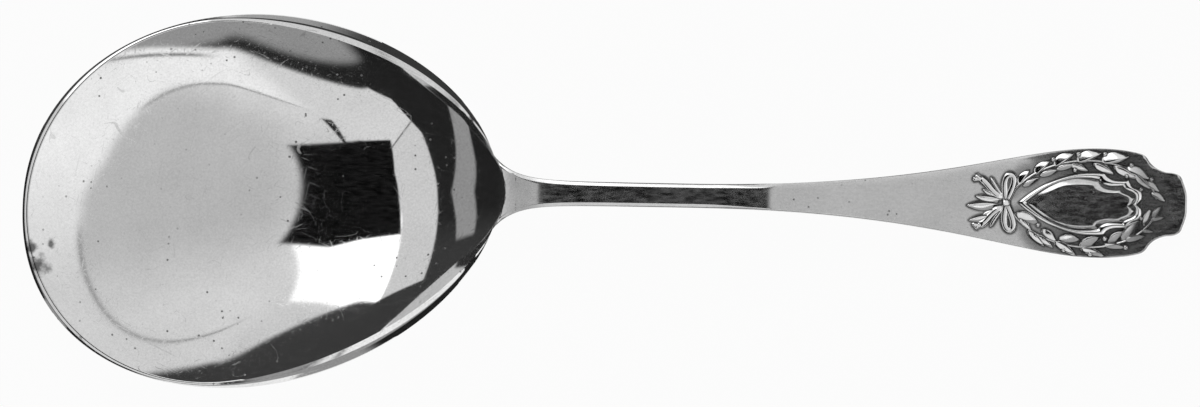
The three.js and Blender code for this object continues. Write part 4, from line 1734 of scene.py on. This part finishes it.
@dataclass(frozen=True)
class SilverFinish:
    """Worn silver plate: a bright metal with smears, streaks, fine scratches, pits, and tarnish with painted
    shade in recesses and where the attribute of painted shade lies.
    """

    name: str
    brightness: float
    smear: float
    grain: float
    roughness: float
    roughness_spread: float
    haze: float
    scratches: float
    pits: float
    # Recess darkening from ambient occlusion, painted shade with tarnish: its depth and reach.
    recess_shade_and_tarnish: float
    recess_shade_reach: float
    stains: tuple[Stain, ...] = ()
    haze_roughness: float = 0.6
    cloud_scale: float = 160.0
    cloud_detail: float = 5.0
    grain_scale: float = 3000.0
    grain_detail: float = 3.0
    recess_ends: Place = (0.97, 0.5)
    recess_samples: int = 6
    shade_and_tarnish_spread: Place = (0.8, 0.6)
    shade_and_tarnish_haze: float = 0.35
    darkening: tuple[float, float, float] = (0.75, 0.3, 0.95)
    dulling: tuple[float, float, float] = (0.4, 0.35, 0.08)
    grain_height: float = 0.25
    bump_strength: float = 0.05
    bump_depth: float = 0.02
    streak_scale: tuple[float, float, float] = (600.0, 2200.0, 2200.0)
    streak_detail: float = 4.0
    streak_ends: Place = (0.2, 0.8)
    curved_scratches: tuple[tuple[float, float, float], ...] = ((95.0, 0.0, 0.0), (130.0, 3.7, 2.22))
    scratch_detail: float = 1.0
    scratch_bend: float = 0.8
    scratch_level: float = 0.5
    scratch_breaks: float = 2.3
    scratch_width: Place = (0.003, 0.001)
    scratch_length: Place = (0.56, 0.62)
    hairlines: tuple[Place, ...] = ((35.0, 1.3), (-24.0, 4.1), (78.0, 7.7))
    hairline_size: tuple[float, float, float] = (0.011, 0.0003, 0.0003)
    hairline_detail: float = 2.0
    hairline_ends: Place = (0.63, 0.74)
    hairline_depth: float = 0.6
    pit_scale: float = 800.0
    pit_size: Place = (0.2, 0.08)
    pit_chance: float = 0.76
    pit_patch_scale: float = 70.0
    pit_patch_detail: float = 1.0
    pit_patches: Place = (0.35, 0.6)

    def build(self, form: SpoonForm) -> Material:
        """Makes the material.

        Args:
            form: The spoon, which places the stains.

        Returns:
            The material.
        """
        material = bpy.data.materials.new(self.name)
        material.use_nodes = True
        sheet = NodeSheet(material.node_tree)
        place = sheet.add("ShaderNodeTexCoord").outputs["Object"]
        clouds = sheet.noise(place, self.cloud_scale, self.cloud_detail)
        grain = sheet.noise(place, self.grain_scale, self.grain_detail)
        scratch = self.scratch_field(sheet, place)
        pit = self.pit_field(sheet, place)
        # Attribute of painted shade and tarnish that the pieces carry.
        patina = sheet.add("ShaderNodeAttribute", attribute_name=PaintedShadeAndTarnish.NAME).outputs["Fac"]
        recess = self.recess_field(sheet, clouds, patina)
        for stain in self.stains:
            recess = sheet.math("MAXIMUM", recess, stain.field(sheet, place, form))
        haze = sheet.math("MULTIPLY_ADD", patina, self.shade_and_tarnish_haze, self.haze_field(sheet, place))
        tone = sheet.math("MULTIPLY_ADD", clouds, -self.smear, self.brightness + self.smear / 2)
        tone = sheet.math("MULTIPLY_ADD", grain, -self.grain, sheet.math("ADD", tone, self.grain / 2))
        rough = sheet.math("MULTIPLY_ADD", clouds, self.roughness_spread, self.roughness)
        # Pits and scratches darken the tone as wear; the recess mark darkens it as painted shade with
        # tarnish.
        for mark, depth, spread in zip((pit, scratch, recess), self.darkening, self.dulling):
            tone = sheet.math("MULTIPLY", tone, sheet.math("MULTIPLY_ADD", mark, -depth, 1.0))
            rough = sheet.math("MULTIPLY_ADD", mark, spread, rough)
        marks = sheet.math("ADD", scratch, pit)
        height = sheet.math("SUBTRACT", sheet.math("MULTIPLY", grain, self.grain_height), marks)
        relief = {"Strength": self.bump_strength, "Distance": self.bump_depth * MM, "Height": height}
        normal = sheet.add("ShaderNodeBump", relief).outputs[0]
        plate = {"Base Color": sheet.grey(tone), "Metallic": 1.0, "Normal": normal}
        clear = sheet.add("ShaderNodeBsdfPrincipled", plate | {"Roughness": rough})
        dull = sheet.add("ShaderNodeBsdfPrincipled", plate | {"Roughness": self.haze_roughness})
        both = sheet.add("ShaderNodeMixShader", {0: haze, 1: clear.outputs[0], 2: dull.outputs[0]})
        sheet.add("ShaderNodeOutputMaterial", {"Surface": both.outputs[0]})
        return material

    def recess_field(self, sheet: NodeSheet, clouds: Socket, patina: Socket) -> Socket:
        """Depth of painted shade with tarnish in recesses, found by ambient occlusion, and where the
        attribute lies.

        Args:
            sheet: The material's node sheet.
            clouds: Noise that makes it uneven.
            patina: The attribute of painted shade and tarnish.

        Returns:
            A socket from 0 to about 1.
        """
        nearby = {"Distance": self.recess_shade_reach * MM}
        # Ambient occlusion darkens the recesses: painted shade, with tarnish.
        open_sky = sheet.add("ShaderNodeAmbientOcclusion", nearby, samples=self.recess_samples).outputs["AO"]
        recess = sheet.math("MULTIPLY", sheet.ease(open_sky, *self.recess_ends), self.recess_shade_and_tarnish)
        uneven = sheet.math("MULTIPLY_ADD", clouds, *self.shade_and_tarnish_spread)
        return sheet.math("MAXIMUM", recess, sheet.math("MULTIPLY", patina, uneven))

    def haze_field(self, sheet: NodeSheet, place: Socket) -> Socket:
        """Share of dull metal, in streaks along the spoon.

        Args:
            sheet: The material's node sheet.
            place: Object coordinates.

        Returns:
            A socket from 0 to the haze.
        """
        drawn = sheet.add("ShaderNodeMapping", {"Vector": place, "Scale": self.streak_scale}).outputs[0]
        streak = sheet.ease(sheet.noise(drawn, 1.0, self.streak_detail), *self.streak_ends)
        return sheet.math("MULTIPLY", streak, self.haze)

    def scratch_field(self, sheet: NodeSheet, place: Socket) -> Socket:
        """Fine scratches: broken level lines of broad noises, and straight hairlines in three directions.

        Args:
            sheet: The material's node sheet.
            place: Object coordinates.

        Returns:
            A socket from 0 to the scratches' depth.
        """
        total = 0.0
        for scale, *shift in self.curved_scratches:
            moved = {"Vector": place, "Location": (*shift, 0)}
            moved = sheet.add("ShaderNodeMapping", moved).outputs[0]
            level = sheet.noise(moved, scale, self.scratch_detail, self.scratch_bend)
            line = sheet.ease(sheet.off(level, self.scratch_level), *self.scratch_width)
            breaks = sheet.noise(moved, scale * self.scratch_breaks, self.scratch_detail)
            length = sheet.ease(breaks, *self.scratch_length)
            total = sheet.math("MAXIMUM", sheet.math("MULTIPLY", line, length), total)
        for angle, shift in self.hairlines:
            turn = (0, 0, math.radians(angle))
            drawn = {"Vector": place, "Rotation": turn, "Scale": self.hairline_size}
            drawn = sheet.add("ShaderNodeMapping", drawn, vector_type="TEXTURE").outputs[0]
            drawn = sheet.add("ShaderNodeVectorMath", {0: drawn, 1: (shift, shift, shift)}).outputs[0]
            hair = sheet.ease(sheet.noise(drawn, 1.0, self.hairline_detail), *self.hairline_ends)
            total = sheet.math("MAXIMUM", total, sheet.math("MULTIPLY", hair, self.hairline_depth))
        return sheet.math("MULTIPLY", total, self.scratches)

    def pit_field(self, sheet: NodeSheet, place: Socket) -> Socket:
        """Small round pits, most of them in patches.

        Args:
            sheet: The material's node sheet.
            place: Object coordinates.

        Returns:
            A socket from 0 to the pits' depth.
        """
        cells = sheet.add("ShaderNodeTexVoronoi", {"Vector": place, "Scale": self.pit_scale}).outputs
        dot = sheet.ease(cells["Distance"], *self.pit_size)
        chance = sheet.add("ShaderNodeSeparateColor", {"Color": cells["Color"]}).outputs[0]
        chosen = sheet.math("GREATER_THAN", chance, self.pit_chance)
        spread = sheet.noise(place, self.pit_patch_scale, self.pit_patch_detail)
        patches = sheet.ease(spread, *self.pit_patches)
        kept = sheet.math("MULTIPLY", chosen, patches)
        return sheet.math("MULTIPLY", sheet.math("MULTIPLY", dot, kept), self.pits)


POLISHED = SilverFinish(
    name="polished_silver",
    brightness=0.82,
    smear=0.14,
    grain=0.28,
    roughness=0.02,
    roughness_spread=0.04,
    haze=0.035,
    scratches=0.4,
    pits=0.9,
    recess_shade_and_tarnish=0.0,
    recess_shade_reach=0.5,
    stains=(Stain(2.6, -12.9, 3.4), Stain(1.4, -10.2, 2.0), Stain(4.6, -9.2, 1.4)),
)
WORN = SilverFinish(
    name="worn_silver",
    brightness=0.78,
    smear=0.14,
    grain=0.22,
    roughness=0.05,
    roughness_spread=0.06,
    haze=0.26,
    scratches=0.15,
    pits=0.8,
    # Recess darkening: painted shade with tarnish.
    recess_shade_and_tarnish=0.7,
    recess_shade_reach=0.8,
)
CHASED = SilverFinish(
    name="chased_silver",
    brightness=0.92,
    smear=0.08,
    grain=0.15,
    roughness=0.07,
    roughness_spread=0.06,
    haze=0.0,
    scratches=0.2,
    pits=0.2,
    # Recess darkening: painted shade with tarnish.
    recess_shade_and_tarnish=0.95,
    recess_shade_reach=0.6,
)


@dataclass(frozen=True)
class Edge:
    """Straight edge of a panel: its directions have a weighted sum over a limit, with a soft step there."""

    along: float
    across: float
    limit: float
    soft: float = 0.6


class TentSheet(NodeSheet):
    """Node sheet of the light tent, which knows the direction of each ray.

    A direction is its angle from straight up in degrees, split into a part along the spoon towards the
    handle's end and a part across it towards the right side.
    """

    def __init__(self, tree: bpy.types.NodeTree) -> None:
        """Finds the direction of each ray.

        Args:
            tree: The world's node tree.
        """
        super().__init__(tree)
        ray = self.add("ShaderNodeTexCoord").outputs["Generated"]
        parts = self.add("ShaderNodeSeparateXYZ", {0: ray}).outputs
        self.rise = parts["Z"]
        self.angle = self.math("DEGREES", self.math("ARCCOSINE", self.rise))
        level = self.math("SUBTRACT", 1.0, self.math("MULTIPLY", self.rise, self.rise))
        level = self.math("SQRT", self.math("MAXIMUM", level, TINY))
        reach = self.math("DIVIDE", self.angle, level)
        self.along = self.math("MULTIPLY", parts["X"], reach)
        self.across = self.math("MULTIPLY", parts["Y"], reach)

    def line(self, along: float, across: float) -> Socket:
        """Weighted sum of the two parts of a direction."""
        return self.math("MULTIPLY_ADD", self.along, along, self.math("MULTIPLY", self.across, across))

    def beyond(self, edge: Edge) -> Socket:
        """Share that is 0 before an edge and 1 beyond it."""
        line = self.line(edge.along, edge.across)
        return self.ease(line, edge.limit - edge.soft, edge.limit + edge.soft)

    def joined(self, operation: str, shares: list[Socket]) -> Socket:
        """Joins shares two by two.

        Args:
            operation: The math that joins two of them.
            shares: The shares.

        Returns:
            One share.
        """
        total = shares[0]
        for share in shares[1:]:
            total = self.math(operation, total, share)
        return total

    def panel(self, edges: tuple[Edge, ...], *shares: Socket) -> Socket:
        """Share of directions beyond all edges, times other shares."""
        return self.joined("MULTIPLY", [self.beyond(edge) for edge in edges] + list(shares))

    def past(self, edges: tuple[Edge, ...], *shares: Socket) -> Socket:
        """Share of directions beyond any edge, or in any other share."""
        return self.joined("MAXIMUM", [self.beyond(edge) for edge in edges] + list(shares))


@dataclass(frozen=True)
class LightTent:
    """Tones and edges of the panels around the spoon.

    They are named as on a map that has the handle's end in the east and the right side in the north.
    """

    west: float = 0.70
    fold_seam: Edge = Edge(1, -0.69, 1.2)
    south: float = 0.76
    south_edges: tuple[Edge, ...] = (Edge(0, -1, 27, 5), fold_seam)
    east: float = 0.56
    east_edges: tuple[Edge, ...] = (Edge(1, 0, 12, 4), Edge(0, 1, -24, 9))
    north_east: float = 0.76
    north_east_edges: tuple[Edge, ...] = (Edge(1, 0, 3, 4), Edge(0, 1, 13, 11))
    below_seam: Place = (1.0, 0.74)
    below_seam_turn: Edge = Edge(0, 1, 2, 12)
    below_seam_edges: tuple[Edge, ...] = (Edge(1, 0, 6, 3),)
    softbox: float = 1.6
    softbox_edges: tuple[Edge, ...] = (
        Edge(1, 0.16, -22.8), Edge(-1, -0.42, -16.2), Edge(-1, -1, -38.0), Edge(0, 1, 12, 5),
    )
    seam: float = 0.25
    seam_angle: float = 30.6
    seam_half: float = 0.6
    seam_line: Place = (0.24, 0.08)
    seam_squeeze: float = 0.85
    seam_sag: float = 0.8
    seam_sag_edge: Edge = Edge(0, -1, 4, 4)
    seam_arcs: tuple[Edge, ...] = (Edge(0, 1, 3, 3), Edge(0, -1, 19, 3))
    seam_start: Edge = Edge(1, 0, 6, 2)
    fold: float = 0.2
    fold_line: Place = (0.6, 0.25)
    fold_edges: tuple[Edge, ...] = (Edge(0, -1, 27), Edge(-1, 0, 15))
    hem_seam: Edge = Edge(0.68, -1, 46.2)
    hem_line: Place = (0.45, 0.15)
    hem_edges: tuple[Edge, ...] = (Edge(1, 0, 13, 3), Edge(0, -1, 22, 2))
    rod_along: float = 3.1
    rod_spread: Place = (-0.062, -1.2)
    rod_end: Edge = Edge(-0.7, 1, -35.5, 0.3)
    gap_left: float = 0.014
    gap_right: float = 0.042
    gap_turn: Edge = Edge(0, 1, 30, 20)
    gap_edges: tuple[Edge, ...] = (
        Edge(-1, -0.1326, 42.8), Edge(-1.6, -1, 102.8), Edge(0, 1, 62),
        Edge(0.55, 1, 45), Edge(0, -1, 59.5), Edge(0.68, -1, 47.6),
    )
    strip: float = 0.32
    strip_near: tuple[Place, Place] = ((0.22, 0.09), (-49.7, -50.9))
    strip_far: tuple[Place, Place] = ((0.13, 0.1), (-61.8, -60.2))
    strip_end: Edge = Edge(0, -1, -40, 3)
    table: float = 0.33
    table_edges: tuple[Edge, ...] = (Edge(0.85, -1, 50.4, 0.8), Edge(1, 0, -24, 4), Edge(-1, 0, -38, 2))
    far_right: float = 0.4
    far_right_angle: Place = (72.0, 78.0)
    far_right_edges: tuple[Edge, ...] = (Edge(0, 1, 45, 12), Edge(1, 0, -6, 5), Edge(-1, 0, -22, 8))
    opening: float = 0.001
    opening_edges: tuple[Edge, ...] = (
        Edge(1, 0, 11.9), Edge(0.133, 1, 21.0), Edge(0.9, 1, 23.8), Edge(0.3, -1, 27.6), Edge(0.82, -1, 27.2),
    )
    opening_corner: tuple[Edge, Edge] = (Edge(-1, 0, 18.3), Edge(-1, -0.228, 21))
    floor: float = 1.0
    floor_rise: Place = (0.02, 0.008)

    def build(self) -> None:
        """Joins the panels into the world's light."""
        world = bpy.data.worlds.new("light_tent")
        world.use_nodes = True
        bpy.context.scene.world = world
        sheet = TentSheet(world.node_tree)
        light = self.add_walls(sheet)
        light = self.add_seams(sheet, light)
        light = self.add_gaps(sheet, light)
        light = self.add_opening(sheet, light)
        light = sheet.mix(sheet.ease(sheet.rise, *self.floor_rise), light, self.floor)
        back = sheet.add("ShaderNodeBackground", {"Color": (1, 1, 1, 1), "Strength": light})
        sheet.add("ShaderNodeOutputWorld", {"Surface": back.outputs[0]})

    def round_angle(self, sheet: TentSheet) -> Socket:
        """Angle from straight up, stretched across the spoon as the round seam is.

        Args:
            sheet: The tent's node sheet.

        Returns:
            The angle in degrees.
        """
        squeezed = sheet.math("MULTIPLY", sheet.across, self.seam_squeeze)
        square = sheet.math("MULTIPLY", squeezed, squeezed)
        square = sheet.math("MULTIPLY_ADD", sheet.along, sheet.along, square)
        sag = sheet.beyond(self.seam_sag_edge)
        return sheet.math("MULTIPLY_ADD", sag, self.seam_sag, sheet.math("SQRT", square))

    def add_walls(self, sheet: TentSheet) -> Socket:
        """Grey walls of the tent and the bright box on its right side.

        Args:
            sheet: The tent's node sheet.

        Returns:
            The light by direction.
        """
        light = sheet.mix(sheet.panel(self.south_edges), self.west, self.south)
        light = sheet.mix(sheet.panel(self.east_edges), light, self.east)
        light = sheet.mix(sheet.panel(self.north_east_edges), light, self.north_east)
        seam = self.seam_angle - self.seam_half, self.seam_angle + self.seam_half
        below = sheet.panel(self.below_seam_edges, sheet.ease(self.round_angle(sheet), *seam))
        tone = sheet.mix(sheet.beyond(self.below_seam_turn), *self.below_seam)
        light = sheet.mix(below, light, tone)
        return sheet.mix(sheet.panel(self.softbox_edges), light, self.softbox)

    def add_seams(self, sheet: TentSheet, light: Socket) -> Socket:
        """Dark seams between panels, and a rod beside the opening.

        Args:
            sheet: The tent's node sheet.
            light: The light so far.

        Returns:
            The light by direction.
        """
        ring = sheet.ease(sheet.off(self.round_angle(sheet), self.seam_angle), *self.seam_line)
        arc = sheet.panel((self.seam_start,), sheet.past(self.seam_arcs), ring)
        light = sheet.mix(arc, light, self.seam)
        lines = (
            (self.fold_seam, self.fold_line, self.fold_edges),
            (self.hem_seam, self.hem_line, self.hem_edges),
        )
        for seam, width, edges in lines:
            near = sheet.ease(sheet.off(sheet.line(seam.along, seam.across), seam.limit), *width)
            light = sheet.mix(sheet.panel(edges, near), light, self.fold)
        width = sheet.math("MULTIPLY_ADD", sheet.across, *self.rod_spread)
        rod = sheet.math("LESS_THAN", sheet.off(sheet.along, self.rod_along), width)
        return sheet.mix(sheet.panel((self.rod_end,), rod), light, self.opening)

    def add_gaps(self, sheet: TentSheet, light: Socket) -> Socket:
        """Dark gaps under the panels, with a lighter strip and lighter table edges low down.

        Args:
            sheet: The tent's node sheet.
            light: The light so far.

        Returns:
            The light by direction.
        """
        low = sheet.mix(sheet.beyond(self.gap_turn), self.gap_left, self.gap_right)
        low = sheet.mix(sheet.panel(self.table_edges), low, self.table)
        steep = sheet.ease(sheet.angle, *self.far_right_angle)
        low = sheet.mix(sheet.panel(self.far_right_edges, steep), low, self.far_right)
        right = sheet.math("MAXIMUM", sheet.across, 0.0)
        left = sheet.math("MAXIMUM", sheet.math("MULTIPLY", sheet.across, -1.0), 0.0)
        sides = []
        for (bend_right, bend_left), ends in (self.strip_near, self.strip_far):
            bent = sheet.math("MULTIPLY_ADD", left, bend_left, sheet.along)
            sides.append(sheet.ease(sheet.math("MULTIPLY_ADD", right, bend_right, bent), *ends))
        low = sheet.mix(sheet.panel((self.strip_end,), *sides), low, self.strip)
        return sheet.mix(sheet.past(self.gap_edges), light, low)

    def add_opening(self, sheet: TentSheet, light: Socket) -> Socket:
        """Dark opening overhead that the camera looks through.

        Args:
            sheet: The tent's node sheet.
            light: The light so far.

        Returns:
            The light by direction.
        """
        corner = sheet.joined("MINIMUM", [sheet.beyond(edge) for edge in self.opening_corner])
        return sheet.mix(sheet.past(self.opening_edges, corner), self.opening, light)


@dataclass(frozen=True)
class Studio:
    """Camera, floor and light tent."""

    form: SpoonForm
    frame_width: float = 189.85
    frame_centre: Place = (91.33, -1.49)
    turn: float = 1.05
    camera_height: float = 2000.0
    camera_range: float = 20.0
    floor_size: float = 6.0
    floor_tone: float = 0.9
    floor_shown: float = 0.95

    def build(self) -> None:
        """Sets up the whole studio."""
        self.build_camera()
        self.build_floor()
        LightTent().build()

    def build_camera(self) -> None:
        """Camera straight above the spoon, with the flat view of a long lens."""
        data = bpy.data.cameras.new("overhead_camera")
        data.type = "ORTHO"
        data.ortho_scale = self.frame_width * MM
        data.clip_end = self.camera_range
        camera = bpy.data.objects.new("overhead_camera", data)
        camera.location = Vector(self.form.placed(np.array([*self.frame_centre, self.camera_height])))
        camera.rotation_euler = (0, 0, math.radians(self.turn))
        bpy.context.scene.collection.objects.link(camera)
        bpy.context.scene.camera = camera

    def build_floor(self) -> None:
        """Pale plain floor that keeps the spoon's shadow."""
        half = self.floor_size / 2
        corners = [(-half, -half, 0), (half, -half, 0), (half, half, 0), (-half, half, 0)]
        mesh = bpy.data.meshes.new("studio_floor")
        mesh.from_pydata(corners, [], [(0, 1, 2, 3)])
        floor = bpy.data.objects.new("studio_floor", mesh)
        bpy.context.scene.collection.objects.link(floor)
        material = bpy.data.materials.new("white_sweep")
        material.use_nodes = True
        sheet = NodeSheet(material.node_tree)
        path = sheet.add("ShaderNodeLightPath").outputs
        seen = sheet.math("MAXIMUM", path["Is Camera Ray"], path["Is Glossy Ray"])
        seen = sheet.math("MAXIMUM", seen, path["Is Transmission Ray"])
        matt = sheet.add("ShaderNodeBsdfDiffuse", {"Color": (*[self.floor_tone] * 3, 1)})
        white = sheet.add("ShaderNodeEmission", {"Color": (1, 1, 1, 1), "Strength": 1.0})
        share = sheet.math("MULTIPLY", seen, self.floor_shown)
        both = sheet.add("ShaderNodeMixShader", {0: share, 1: matt.outputs[0], 2: white.outputs[0]})
        sheet.add("ShaderNodeOutputMaterial", {"Surface": both.outputs[0]})
        mesh.materials.append(material)


def main() -> None:
    """Builds the spoon piece by piece, then the studio."""
    logging.basicConfig(level=logging.INFO, format="%(name)s: %(message)s")
    form = SpoonForm.from_frame()
    polished = POLISHED.build(form)
    worn = WORN.build(form)
    chased = CHASED.build(form)
    bowl = Bowl(form).build(polished)
    handle = Handle(form)
    stem = handle.build_stem(worn)
    blade = handle.build_blade(worn)
    shield = Shield(form)
    relief = [shield.build_bead(chased)]
    shield.build_field(worn)
    ornament = Ornament(form, SprayTree(), chased)
    relief += [ornament.build_bow(), ornament.build_stalks()]
    relief += [ornament.build_tail(side) for side in Side]
    wreath = [ornament.build_branch(side) for side in Side]
    PaintedShadeAndTarnish(form).settle(bowl, stem, blade, relief, wreath)
    Studio(form).build()
    bpy.context.scene.view_settings.view_transform = "Standard"


if __name__ == "__main__":
    main()
